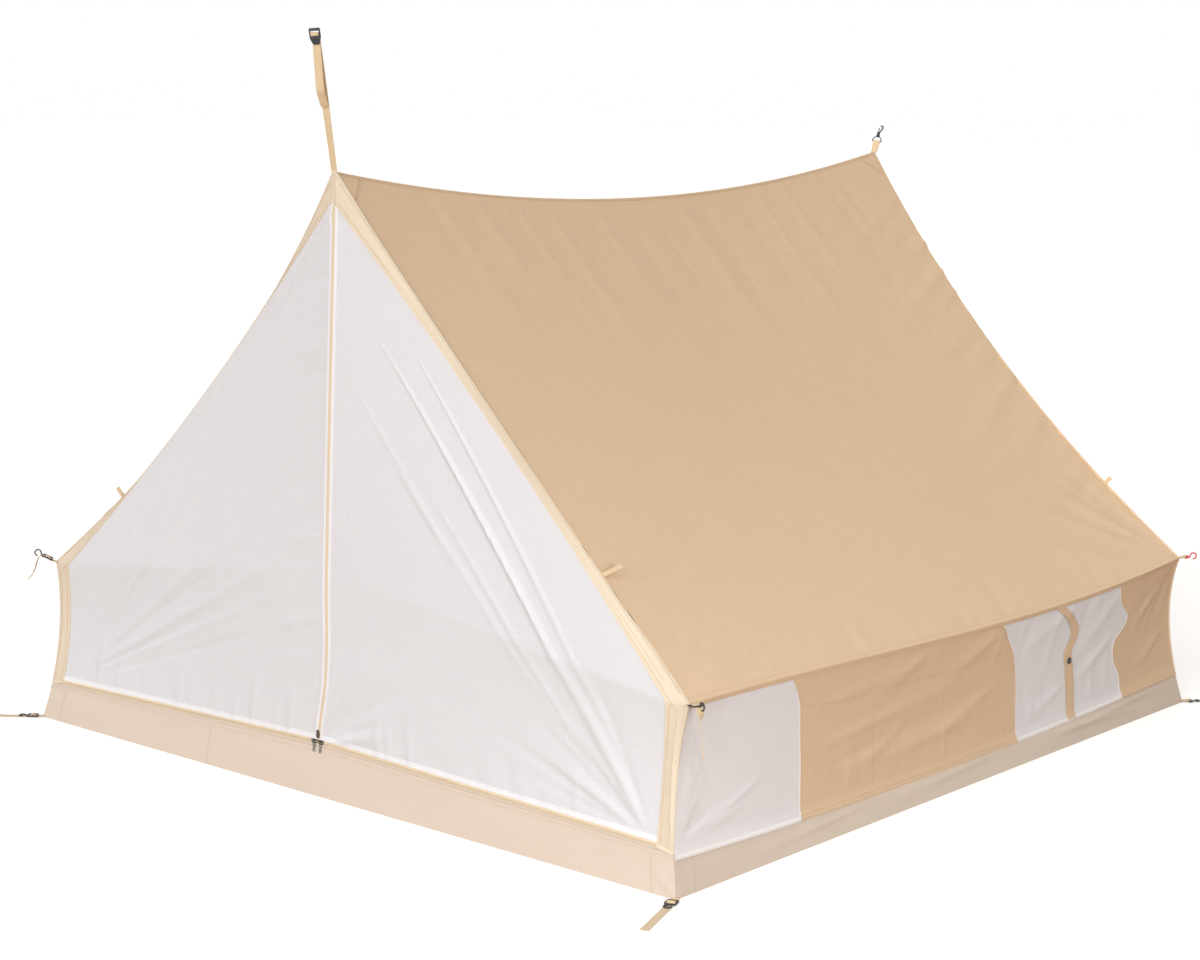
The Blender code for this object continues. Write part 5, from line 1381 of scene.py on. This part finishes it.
class TENT_OT_walls(bpy.types.Operator):
    """Hang the side walls: net, cotton with pockets, a net window under its tape, and cotton"""

    bl_idname = "tent.walls"
    bl_label = "Side walls"

    def execute(self, context):
        for name, side in SIDES:
            cloth = wall_cloth(side)
            # The side net is painted paler than the door's net, as painted light for the dimmer side walls
            for part, front, rear, steps, columns, lift, paint in (
                ("wall_front_mesh", WALL_FRONT, FRONT_MESH_REAR, (0.0005, 0.002), 70, -0.0006, "side net"),
                ("wall_cotton", FRONT_MESH_REAR, WINDOW_FRONT, (0.0, 0.0), 160, 0.0, "roof cotton"),
                ("wall_window_mesh", WINDOW_FRONT, WINDOW_REAR, (-0.004, 0.004), 90, -0.0006, "side net"),
                ("wall_rear_cotton", WINDOW_REAR, WALL_REAR, (0.0, -0.0005), 56, 0.0, "roof cotton"),
            ):
                self.panel(f"{name}_{part}", cloth, front, rear, steps, columns, lift, paint)
            self.tape(name, cloth)
            self.pockets(name, cloth)
            self.hems(name, cloth)
            self.stitches(name, cloth)
        return {"FINISHED"}

    def beside(self, seam, step):
        """A line up the wall, beside a seam by a share of the wall's length."""

        def line(s):
            up = WALL_FOOT + (WALL_SEAM_TOP - WALL_FOOT) * s
            return wall_share(seam_place(seam, np.clip(up, 0, 1))) + step, up

        return line

    def hems(self, name, cloth):
        """White tape round each net, and a felled strip over each seam between cotton and net."""
        for part, front, rear, inset, wide in (
            ("front", WALL_FRONT, FRONT_MESH_REAR, FRONT_NET_INSET, FRONT_NET_HEM),
            ("window", WINDOW_FRONT, WINDOW_REAR, 0.0, NET_HEM),
        ):
            first, last = (float(wall_share(seam_place(seam, 0.0))) for seam in (front, rear))
            run = (first + inset, last - first - inset)
            for piece, low, high in (
                ("net_front_hem", self.beside(front, inset), self.beside(front, inset + wide)),
                ("net_rear_hem", self.beside(rear, -NET_HEM), self.beside(rear, 0.0)),
                ("net_foot_hem", straight(run, WALL_FOOT), straight(run, (WALL_HEM - WALL_OVERLAP) / WALL_RISE)),
            ):
                strip(f"{name}_{part}_{piece}", cloth, low, high, (90, 3), 0.0003, "side hem", flat=flat_side)
        for part, seam, step in (
            ("front_mesh", FRONT_MESH_REAR, 0.0004), ("window_front", WINDOW_FRONT, -0.0004),
            ("window_rear", WINDOW_REAR, 0.0004),
        ):
            strip(
                f"{name}_{part}_seam", cloth, self.beside(seam, step - WALL_SEAM_HALF),
                self.beside(seam, step + WALL_SEAM_HALF), (90, 3), 0.0006, "roof cotton", flat=flat_side,
            )

    def stitches(self, name, cloth):
        """The fold under the eave, and every row of stitches on the wall."""
        strip(
            f"{name}_eave_fold", cloth, straight((0.001, 0.998), 0.970), straight((0.001, 0.998), 1.0), (200, 3),
            0.0016, "roof cotton", flat=flat_side, thickness=0.0010,
        )
        level = lambda up, lift: (cloth, straight((0.003, 0.994), up), lift)
        rows = [level(0.976, 0.0019)]
        for seam, step in (
            (FRONT_MESH_REAR, 0.0009), (WINDOW_FRONT, -0.0006), (WINDOW_REAR, 0.0006), (BAND_MIDDLE, -0.0068),
            (BAND_MIDDLE, 0.0068),
        ):
            lift = 0.0008 if seam is not BAND_MIDDLE else BAND_LIFT + 0.0003
            rows.append((
                cloth, lambda s, seam=seam, step=step: (wall_share(seam_place(seam, s)) + step, 0.01 + 0.97 * s), lift,
            ))
        front, rear = (wall_share(seam_place(seam, POCKET_TOP)) for seam in (FRONT_MESH_REAR, WINDOW_FRONT))
        dip = lambda s: POCKET_TOP - 0.05 * np.sin(np.pi * s) - 0.012 * np.sin(3 * np.pi * s)
        rows.append((cloth, lambda s: (front + (rear - front) * s, dip(s)), 0.0003))
        for share in (part / POCKET_COUNT for part in range(1, POCKET_COUNT)):
            rows.append((cloth, straight(front + (rear - front) * share, (0.02, dip(share) - 0.02)), 0.0003))
        foot = (WALL_HEM - WALL_OVERLAP - 0.0015) / WALL_RISE
        rows += [level(foot, 0.0008), level(foot - 0.028, 0.0008)]
        stitched(f"{name}_wall_stitches", rows)

    def panel(self, name, cloth, front, rear, steps, columns, lift, paint):
        def place(across, up):
            up = WALL_FOOT + (WALL_TOP - WALL_FOOT) * up
            first = wall_share(seam_place(front, np.clip(up, 0, 1)) + steps[0])
            last = wall_share(seam_place(rear, np.clip(up, 0, 1)) + steps[1])
            return cloth.at(first + (last - first) * across, up, lift)

        piece = finish_piece(grid_sheet(f"{name}_cloth", columns, 56, place, flat_side), paint)
        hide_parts(name)

    def tape(self, name, cloth):
        edge = lambda away: lambda s: (wall_share(seam_place(BAND_MIDDLE, s) + away), -0.035 + 1.03 * s)
        piece = strip(
            f"{name}_window_band", cloth, edge(-BAND_WIDTH / 2), edge(BAND_WIDTH / 2), (70, 8), BAND_LIFT,
            "roof cotton", flat=flat_side, thickness=0.0010,
        )
        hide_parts(f"{name}_window_tape")

    def pockets(self, name, cloth):
        def place(across, up):
            up = POCKET_FOOT + (POCKET_TOP - POCKET_FOOT) * up
            first = wall_share(seam_place(FRONT_MESH_REAR, up) + POCKET_IN)
            last = wall_share(seam_place(WINDOW_FRONT, up) - POCKET_IN)
            ripple = 1 + 0.16 * np.sin(across * 61) + 0.10 * np.sin(across * 97 + 1.3)
            slack = POCKET_BULGE * np.abs(np.sin(math.pi * POCKET_COUNT * across)) ** 1.2 * (up / POCKET_TOP) * ripple
            return cloth.at(first + (last - first) * across, up, -0.0040 - slack)

        piece = finish_piece(grid_sheet(f"{name}_pocket_cloth", 150, 36, place, flat_side), "roof cotton")
        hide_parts(f"{name}_pockets")


class TENT_OT_rear(bpy.types.Operator):
    """Hang the rear wall"""

    bl_idname = "tent.rear"
    bl_label = "Rear wall"

    def execute(self, context):
        cloth = rear_cloth()
        piece = grid_sheet(
            "rear_wall_cloth", 150, 150, lambda a, u: cloth.at(0.001 + 0.998 * a, -0.004 + 0.998 * u), flat_front,
        )
        finish_piece(piece, "roof cotton")
        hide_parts("rear_wall")
        return {"FINISHED"}


class TENT_OT_tub(bpy.types.Operator):
    """Fold the tub floor with its four leaning walls"""

    bl_idname = "tent.tub"
    bl_label = "Tub floor"

    def execute(self, context):
        columns, rows = 170, 16
        walls = {wall: tub_wall(wall) for wall in TUB_WALLS}
        share = np.arange(columns) / columns
        layers = [
            np.concatenate([cloth.at(share, np.full(columns, row / rows)) for cloth in walls.values()])
            for row in range(rows + 1)
        ]
        inner = [layers[0] * (shrink, shrink, 0) for shrink in (0.3, 0.6, 0.85, 0.97)]
        rings = np.concatenate((*inner, *layers))
        count = 4 * columns
        faces = []
        for ring in range(len(inner) + rows):
            for index in range(count):
                low, following = ring * count + index, ring * count + (index + 1) % count
                faces.append([low, following, following + count, low + count])
        faces += [[(index + 1) % count, index, len(rings)] for index in range(count)]
        points = np.concatenate((rings, [(0, 0, 0)]))
        on_wall = points[:, 2] > 0.0001
        pairs = np.where(on_wall[:, None], spread(points[:, 0] + points[:, 1], points[:, 2]), points[:, :2])
        piece = mesh_piece("tub_cloth", points, faces, pairs)
        face_out(piece.data, TUB_MIDDLE)
        apply_modifier(piece, "thickness", "SOLIDIFY", thickness=TUB_CLOTH, offset=-1.0, use_even_offset=True)
        finish_piece(piece, "tub cloth", smooth=30)
        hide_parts("tub_floor")
        seams = self.seams(walls)
        return {"FINISHED"}

    def seams(self, walls):
        """The hem round the rim, the corner patches' seams and the join in the front wall."""
        made, rows = [], []
        hem = TUB_HEM / TUB_HEIGHT * 0.94
        for wall, cloth in walls.items():
            length = TUB_WALLS[wall][2]
            flat = flat_front if wall in ("front", "rear") else flat_side
            made.append(strip(
                f"tub_{wall}_hem", cloth, straight((0.0, 1.0), 1.0), straight((0.0, 1.0), 1 - hem), (170, 3), 0.0009,
                "tub cloth", flat=flat, thickness=0.0006,
            ))
            rows += [(cloth, straight((0.0, 1.0), up), 0.0011) for up in (0.965, 1.035 - hem)]
            places = [CORNER_PATCH / length, 1 - CORNER_PATCH / length]
            if wall == "front":
                places.append(TUB_SEAM_X / FLOOR_WIDTH + 0.5)
            half, rise = 0.0026 / length, (0.01, 0.985 - hem)
            for index, place in enumerate(places):
                made.append(strip(
                    f"tub_{wall}_seam_{index}", cloth, straight(place - half, rise), straight(place + half, rise),
                    (20, 3), 0.0006, "tub cloth", flat=flat, thickness=0.0005,
                ))
                rows.append((cloth, straight(place, (0.02, 0.97 - hem)), 0.0008))
        made.append(stitched("tub_stitches", rows, "tub thread"))
        return made


class TENT_OT_bindings(bpy.types.Operator):
    """Sew the cotton frame round the net front"""

    bl_idname = "tent.bindings"
    bl_label = "Front bindings"

    def execute(self, context):
        for name, side in SIDES:
            cloth = binding_cloth(side)
            self.frame(name, side, cloth)
            mitre = lambda step: lambda s: (
                np.interp(s, MITRE_SHARES, MITRE_ACROSS) + step[0], np.interp(s, MITRE_SHARES, MITRE_UP) + step[1],
            )
            rows = [(cloth, straight(across, (0.345, 0.645)), 0.0008) for across in (0.07, 0.14)]
            rows.append((cloth, straight(0.80, (0.004, 0.985)), 0.0018))
            inner_row = lambda s: (np.interp(s, (0, 0.85, 1), (0.52, 0.52, 0.80)), 0.36 + 0.57 * s)
            rows.append((cloth, inner_row, 0.0008))
            rows += [(cloth, straight((0.05, 0.9), up), 0.0016) for up in (0.006, 0.015)]
            rows.append((cloth, mitre((0.045, 0.0030)), 0.0008))
            strip(
                f"{name}_mitre_seam", cloth, mitre((0.0, 0.0)), mitre((0.035, 0.0014)), (80, 3), 0.0010,
                "binding cotton", thickness=0.0008,
            )
            strip(
                f"{name}_binding_hem", cloth, straight(0.78, (0.002, 0.99)), straight(1.02, (0.002, 0.99)), (200, 3),
                0.0013, "binding hem", thickness=0.0010,
            )
            stitched(f"{name}_binding_stitches", rows)
        self.peak()
        return {"FINISHED"}

    def frame(self, name, side, cloth):
        low = BINDING_LOW[side]

        def place(across, up):
            up = low + (1 - low) * up
            points = cloth.at(across * 1.02, up, 0.0004)
            points[..., 1] -= np.clip(-up, 0, 1) * 0.26 + np.clip(0.004 - up, 0, 0.004) * 0.45
            points[..., 0] = side * np.maximum(side * points[..., 0], 0.0004)
            return points

        piece = grid_sheet(f"{name}_binding_cloth", 12, 260, place, flat_front, 0.0010)
        finish_piece(piece, "binding cotton")
        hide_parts(f"{name}_front_binding")

    def peak(self):
        """The overlapped join over the zip, with a dark strip painted along the lap's edge as its shadow, and its row
        of stitches.
        """
        cloth = Cloth(on_front)
        top, foot = RIDGE_HEIGHT - 0.006, RIDGE_HEIGHT - BINDING_APEX_DROP + 0.005
        rise = top - foot
        strip(
            "peak_lap", cloth, straight((-0.0085, 0.0055), (foot, rise)), straight((0.0065, -0.003), (foot, rise)),
            (30, 4), 0.0020, "binding cotton", thickness=0.0016,
        )
        # A dark strip of painted shadow along the lap's left edge, standing in for the shadow that the edge casts
        strip(
            "peak_lap_shadow", cloth, straight((-0.0100, 0.0055), (foot, rise * 0.93)),
            straight((-0.0080, 0.0055), (foot, rise * 0.93)), (30, 2), 0.0014, "painted peak shadow", thickness=0.0008,
        )
        rows = [(cloth, straight((0.0030, -0.002), (foot + rise * 0.03, rise * 0.94)), 0.0023)]
        stitched("peak_stitches", rows)


class TENT_OT_door(bpy.types.Operator):
    """Hang the net front in two halves that meet at the zip, each with its hem and zip tape"""

    bl_idname = "tent.door"
    bl_label = "Net door"

    def execute(self, context):
        for name, side in SIDES:
            self.half(name, side, door_cloth(side))
        self.sill()
        return {"FINISHED"}

    def half(self, name, side, cloth):
        def reach(up):
            """The door's width at a share of its height."""
            return np.linalg.norm(cloth.surface(1 + 0 * up, up) - cloth.surface(0 * up, up), axis=-1)

        def rise(across):
            """How much the cloth rises for a share of its height, near the sill."""
            step = 0.02 + 0 * across
            return np.linalg.norm(cloth.surface(across, step) - cloth.surface(across, 0 * step), axis=-1) / 0.02

        def net(across, up):
            start = np.minimum(TAPE_EDGE / reach(up), 0.9)
            return cloth.at(start + (1.004 - start) * across, 0.004 + 1.003 * up, -0.0002)

        def up_zip(away, most=1.0):
            return lambda s: (np.minimum(away / reach(ZIP_REACH * s), most), ZIP_REACH * s)

        def on_sill(height):
            return lambda s: (0.004 + s, height / rise(s))

        tape_lift = 0.0007 if side < 0 else 0.0009
        pieces = [finish_piece(grid_sheet(f"{name}_door_net", 128, 150, net, flat_front), "net", None)]
        for part, first, last, grid, lift, paint in (
            ("zip_hem", up_zip(0.0035, 0.99), up_zip(HEM_EDGE), (260, 4), 0.0003, "white hem"),
            ("sill_hem", on_sill(0.0040), on_sill(SILL_TAPE + SILL_HEM), (220, 4), 0.0002, "white hem"),
            ("zip_tape", up_zip(-0.0006, 0.99), up_zip(TAPE_EDGE), (260, 3), tape_lift, "zip tape"),
            ("sill_tape", on_sill(-0.0004), on_sill(SILL_TAPE), (220, 3), tape_lift, "zip tape"),
        ):
            pieces.append(strip(f"{name}_{part}", cloth, first, last, grid, lift, paint, None))
        pieces.append(self.teeth(f"{name}_zip_teeth", cloth, (
            lambda s: (0.0005 / reach(0.994 * s), 0.003 + 0.991 * s), lambda s: (0.006 + 0.986 * s, 0.0004 / rise(s)),
        )))
        rows = [
            (cloth, lambda s, d=d: (d / reach(0.994 * s), 0.012 + 0.98 * s), 0.0009)
            for d in (TAPE_EDGE - 0.0010, HEM_EDGE - 0.0020)
        ] + [
            (cloth, lambda s, d=d: (0.02 + 0.965 * s, d / rise(s)), 0.0009)
            for d in (SILL_TAPE + 0.0012, SILL_TAPE + SILL_HEM - 0.0020)
        ]
        pieces.append(stitched(f"{name}_door_stitches", rows, "white thread", None))
        start, end = self.fold_line(side)
        for piece in pieces:
            tuple(start)
            tuple(end)
            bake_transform(piece)
        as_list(pieces[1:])
        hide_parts(f"{name}_door_flap", f"{name}_door_side_mesh")
        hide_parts(f"{name}_zip_coil")

    def teeth(self, name, cloth, lines, body=None, lift=0.0012):
        """The coil's turns along each line, as small bars that lie across the zip."""
        parts = [evenly_along(cloth, line, TOOTH_PITCH, lift) for line in lines]
        places, ahead, out = (np.concatenate(part) for part in zip(*parts))
        shape = small_shape(6, 3, TOOTH)
        return copied(name, shape, places, unit(np.cross(out, ahead)), out, "coil", body)

    def sill(self):
        """The tub's half of the sill zips, sewn over its rim."""
        cloth = Cloth(on_front)
        half = SILL_HALF - BINDING_FOOT + 0.006
        line = lambda drop: lambda s: ((2 * s - 1) * half, sill_height((2 * s - 1) * half) - drop)
        tape = strip(
            "sill_zip_tape", cloth, line(0.0), line(SILL_TAPE), (300, 4), 0.0024, "zip tape", thickness=0.0006,
        )
        strip(
            "sill_facing", cloth, line(0.0030), line(0.0135), (300, 4), 0.0018, "tub cloth", thickness=0.0006,
        )
        self.teeth("sill_zip_teeth", cloth, (line(0.0006),), "cabin", 0.0030)
        stitched("sill_stitches", [(cloth, line(SILL_TAPE - 0.0010), 0.0026), (cloth, line(0.0118), 0.0020)])
        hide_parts("sill_zip_coil")

    def fold_line(self, side):
        """Two points across the flap's fold, from the fixed net to the flap."""
        foot_x = SILL_HALF - FOLD_FOOT_IN
        top = on_front(side * FOLD_TOP[0], FOLD_TOP[1])
        foot = on_front(side * foot_x, sill_height(side * foot_x))
        middle = (top + foot) / 2
        normal = unit(np.cross(top - foot, (0, -1, 0)))
        normal *= -1 if np.dot(normal, (side, 0, 1)) > 0 else 1
        return middle + normal * -0.003, middle + normal * 0.025


# Webbing and hardware

def axes(origin, forward, up):
    """A strap's frame: its origin, and unit vectors along it, up from it and across it."""
    forward = unit(forward)
    across = unit(np.cross(forward, up))
    return np.asarray(origin, float), forward, np.cross(across, forward), across


def tie_axes(corner, heading, climb):
    turn, rise = math.radians(heading), math.radians(climb)
    level = np.array((math.cos(turn), math.sin(turn), 0))
    upward = np.array((0, 0, 1.0))
    ahead, out = level * math.cos(rise) + upward * math.sin(rise), upward * math.cos(rise) - level * math.sin(rise)
    return axes(corner, ahead, out)


def arc(middle, radius, first, last, steps):
    turn = np.radians(np.linspace(first, last, steps + 1))
    return [(middle + radius * math.cos(a), radius * math.sin(a)) for a in turn]


def woven_path(tail):
    """Under, over and under a ladder-lock's bars, then the loose end."""
    slot = (LOCK_LENGTH - 3 * LOCK_BAR) / 2
    first_end = TIE_TAB + LOCK_BAR
    middle_start = first_end + slot
    last_start = middle_start + LOCK_BAR + slot
    return [
        (-0.002, 0.0), (TIE_TAB - 0.003, -LOCK_CLEAR), (first_end + 0.0008, -LOCK_CLEAR),
        (middle_start - 0.0008, LOCK_CLEAR), (middle_start + LOCK_BAR + 0.0008, LOCK_CLEAR),
        (last_start - 0.0008, -LOCK_CLEAR), (LOCK_END, -LOCK_CLEAR), *tail,
    ]


def looped_path():
    clear = math.hypot(LOCK_THICKNESS / 2, LOCK_BAR / 2) + FIT_GAP + WEBBING / 2
    leg = WEBBING / 2 + 0.0002
    middle = REAR_TIE_TAB - LOCK_BAR / 2
    together = middle / 2 + 0.003
    return [(-0.002, -leg), (together, -leg), *arc(middle, clear, -90, 90, 6), (together, leg), (-0.002, leg)]


def eave_tail(length):
    return [(LOCK_END + ahead, -LOCK_CLEAR - drop) for ahead, drop in (
        (0.004, 0.003), (0.006, 0.009), (0.0055, 0.024), (0.003, 0.040), (0.004, length * 0.8), (0.009, length),
    )]


def base_tail(length):
    return [(LOCK_END + length * share, -LOCK_CLEAR) for share in (0.5, 1)]


class TENT_OT_straps(bpy.types.Operator):
    """Thread the webbing through the locks and hooks"""

    bl_idname = "tent.straps"
    bl_label = "Webbing"

    def execute(self, context):
        rise = LOCK_THICKNESS / 2 + FIT_GAP + WEBBING + GROUND_GAP
        for name, side, end, heading, climb, tail in TIES:
            low = name.endswith("base")
            corner = base_corner(side, end) + (0, 0, rise) if low else eave_corner(side, end)
            path = looped_path() if end == REAR else woven_path(base_tail(tail) if low else eave_tail(tail))
            self.strap(
                f"{name}_strap", path, tie_axes(corner, heading, climb), 0, f"{name}_tie", folded_end=end == FRONT,
                tail_turn=TAIL_TURNS.get(name, 0),
            )
        self.hanger()
        self.rear_tab()
        self.tapes()
        return {"FINISHED"}

    def strap(
        self, node_name, path, frame, twist, body, span=1.0, width=WEBBING_WIDTH, head_width=None, folded_end=False,
        squashed=False, tail_turn=0,
    ):
        """A flat woven strap along a path in its frame, which may turn about the frame's length on its way."""
        origin, forward, up, across = frame
        path = smoothed(path)
        share = np.clip(path[:, 0] / span, 0, 1)
        turn = np.radians(twist) * share
        turned_up = up * np.cos(turn)[:, None] + across * np.sin(turn)[:, None]
        turned_across = across * np.cos(turn)[:, None] - up * np.sin(turn)[:, None]
        places = origin + forward * path[:, :1] + turned_up * path[:, 1:2]
        if tail_turn:
            ahead = unit(np.gradient(places, axis=0))
            beyond = np.radians(tail_turn) * np.clip((-path[:, 1] - 0.010) / 0.022, 0, 1)
            beside = unit(np.cross(ahead, turned_across))
            turned_across = turned_across * np.cos(beyond)[:, None] + beside * np.sin(beyond)[:, None]
        widths = width + ((head_width or width) - width) * share
        heights = np.full(len(path), WEBBING)
        if folded_end:
            run = np.cumsum(np.linalg.norm(np.diff(places, axis=0), axis=1))[::-1]
            heights[:-1] *= 1 + 0.9 * np.clip((0.012 - (run[0] - run[::-1])) / 0.001, 0, 1)
            heights[-1] *= 1.9
        piece = swept_piece(f"{node_name}_webbing", places, widths, heights, turned_across, 10, "woven webbing", body)
        if squashed:
            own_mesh(piece)
        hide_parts(node_name)

    def hanger(self):
        lean, twist = math.radians(HANGER_LEAN), math.radians(HANGER_TWIST)
        frame = axes(apex(FRONT), (0, -math.sin(lean), math.cos(lean)), (0, -math.cos(lean), -math.sin(lean)))
        foot_top = HANGER_LENGTH + LOCK_FOOT
        bar_foot = foot_top + LOCK_SLOT
        bar_top = bar_foot + LOCK_MIDDLE
        near = LOCK_CLEAR + 0.0001
        far = near + WEBBING + FIT_GAP
        over = bar_top + FIT_GAP + WEBBING / 2 + 0.0005
        rising = [(HANGER_LENGTH * share, -far * share) for share in (0.12, 0.25, 0.38, 0.5, 0.62, 0.75, 0.86)]
        standing = [
            (-0.002, 0.0), *rising, (HANGER_LENGTH - 0.020, -far), (foot_top, -far), ((bar_foot + bar_top) / 2, -far),
            (over, -near - 0.0002), (over, -FIT_GAP / 2),
        ]
        self.strap(
            "ridge_strap", standing, frame, HANGER_TWIST, "ridge_hanger", HANGER_LENGTH - 0.020, squashed=True,
        )
        origin, forward, up, across = frame
        turned_up = up * math.cos(twist) + across * math.sin(twist)
        turned_across = across * math.cos(twist) - up * math.sin(twist)
        middle = foot_top + LOCK_SLOT / 2
        loose = [
            (over, FIT_GAP), (over - 0.0005, near - 0.0004), (bar_top - 0.0006, near), (bar_foot + 0.0004, near),
            (middle + 0.0006, near - 0.0006), (middle, 0), (middle - 0.0008, -near + 0.0004), (middle - 0.0024, -near),
            (HANGER_LENGTH - 0.001, -near), (HANGER_LENGTH - 0.010, -near + 0.0030), (HANGER_LENGTH - 0.045, 0.006),
            (HANGER_LENGTH - 0.100, 0.016), (HANGER_LENGTH - HANGER_TAIL * 0.82, 0.012),
            (HANGER_LENGTH - HANGER_TAIL, 0.002),
        ]
        self.strap(
            "ridge_strap_tail", loose, (origin, forward, turned_up, turned_across), 0, "ridge_buckle", folded_end=True,
        )

    def rear_tab(self):
        lean = math.radians(REAR_TAB_LEAN)
        frame = axes(apex(REAR), (0, math.sin(lean), math.cos(lean)), (0, -math.cos(lean), math.sin(lean)))
        leg = WEBBING / 2 + FIT_GAP / 2
        clear = SNAP_WIRE / 2 + FIT_GAP + WEBBING / 2
        near = [(-0.002, -leg), (0.012, -leg), (REAR_TAB - 0.006, -leg)]
        loop = [*near, *arc(REAR_TAB, clear, -75, 75, 6), *[(x, -y) for x, y in near[::-1]]]
        self.strap("rear_ridge_tab", loop, frame, REAR_TAB_TWIST, "cabin", REAR_TAB - 0.006, head_width=REAR_TAB_HEAD)

    def tapes(self):
        leg = WEBBING / 2 + FIT_GAP / 2
        for name, side, end, up, reach, direction in ROOF_TAPES:
            edge = gable_edge(side, end, up)
            seam_run = gable_edge(side, end, up + 0.01) - edge
            normal = np.cross(seam_run, unit(direction))
            frame = axes(edge + (0, 0, TAPE_LIFT), direction, normal if normal[2] > 0 else -normal)
            path = [
                (0.0005, -leg), (reach * 0.6, -leg), *arc(reach - leg, leg, -60, 60, 2), (reach * 0.6, leg),
                (0.0005, leg),
            ]
            self.strap(f"{name}_roof_tape", path, frame, 0, "cabin", width=TAPE_WIDTH)


class TENT_OT_hardware(bpy.types.Operator):
    """Round the edges of the moulded and cast parts"""

    bl_idname = "tent.hardware"
    bl_label = "Hardware"

    def execute(self, context):
        owners = {name: body for body, names in BODY_NODES.items() for name in names}
        for part, (paint, edge) in HARDWARE.items():
            self.rounded(part, owners[part], paint, edge)
        return {"FINISHED"}

    def rounded(self, part, body, paint, edge):
        source = FRAME["nodes"][part]
        piece = source.copy()
        piece.data = source.data.copy()
        piece.name = piece.data.name = f"{part}_finished"
        bpy.context.scene.collection.objects.link(piece)
        piece.hide_set(False)
        edited(
            piece, (bpy.ops.mesh.remove_doubles, {"threshold": 0.00001}),
            (bpy.ops.mesh.dissolve_limited, {"angle_limit": math.radians(1.5)}),
        )
        apply_modifier(
            piece, "edges", "BEVEL", width=edge, segments=2, limit_method="ANGLE", angle_limit=math.radians(40),
            use_clamp_overlap=True,
        )
        finish_piece(piece, paint, body, smooth=35)
        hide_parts(part)


class TENT_PT_panel(bpy.types.Panel):
    """Lists the tent's sizes, colours and steps"""

    bl_label = "Cabin tent"
    bl_idname = "TENT_PT_panel"
    bl_space_type = "VIEW_3D"
    bl_region_type = "UI"
    bl_category = "Tent"

    def draw(self, context):
        for group in (context.scene.tent_sizes, context.scene.tent_colours):
            for name in group.__annotations__:
                self.layout.prop(group, name)
        for step in STEPS:
            self.layout.operator(step.bl_idname)


STEPS = (
    TENT_OT_materials, TENT_OT_stage, TENT_OT_tub, TENT_OT_roof, TENT_OT_edges, TENT_OT_walls, TENT_OT_rear,
    TENT_OT_bindings, TENT_OT_door, TENT_OT_straps, TENT_OT_hardware,
)
CLASSES = (TentSizes, TentColours, *STEPS, TENT_PT_panel)


def register():
    for item in CLASSES:
        bpy.utils.register_class(item)
    bpy.types.Scene.tent_sizes = bpy.props.PointerProperty(type=TentSizes)
    bpy.types.Scene.tent_colours = bpy.props.PointerProperty(type=TentColours)


def unregister():
    del bpy.types.Scene.tent_colours
    del bpy.types.Scene.tent_sizes
    for item in reversed(CLASSES):
        bpy.utils.unregister_class(item)


def main():
    register()
    for step in STEPS:
        area, action = step.bl_idname.split(".")
        getattr(getattr(bpy.ops, area), action)()


if __name__ == "__main__":
    main()
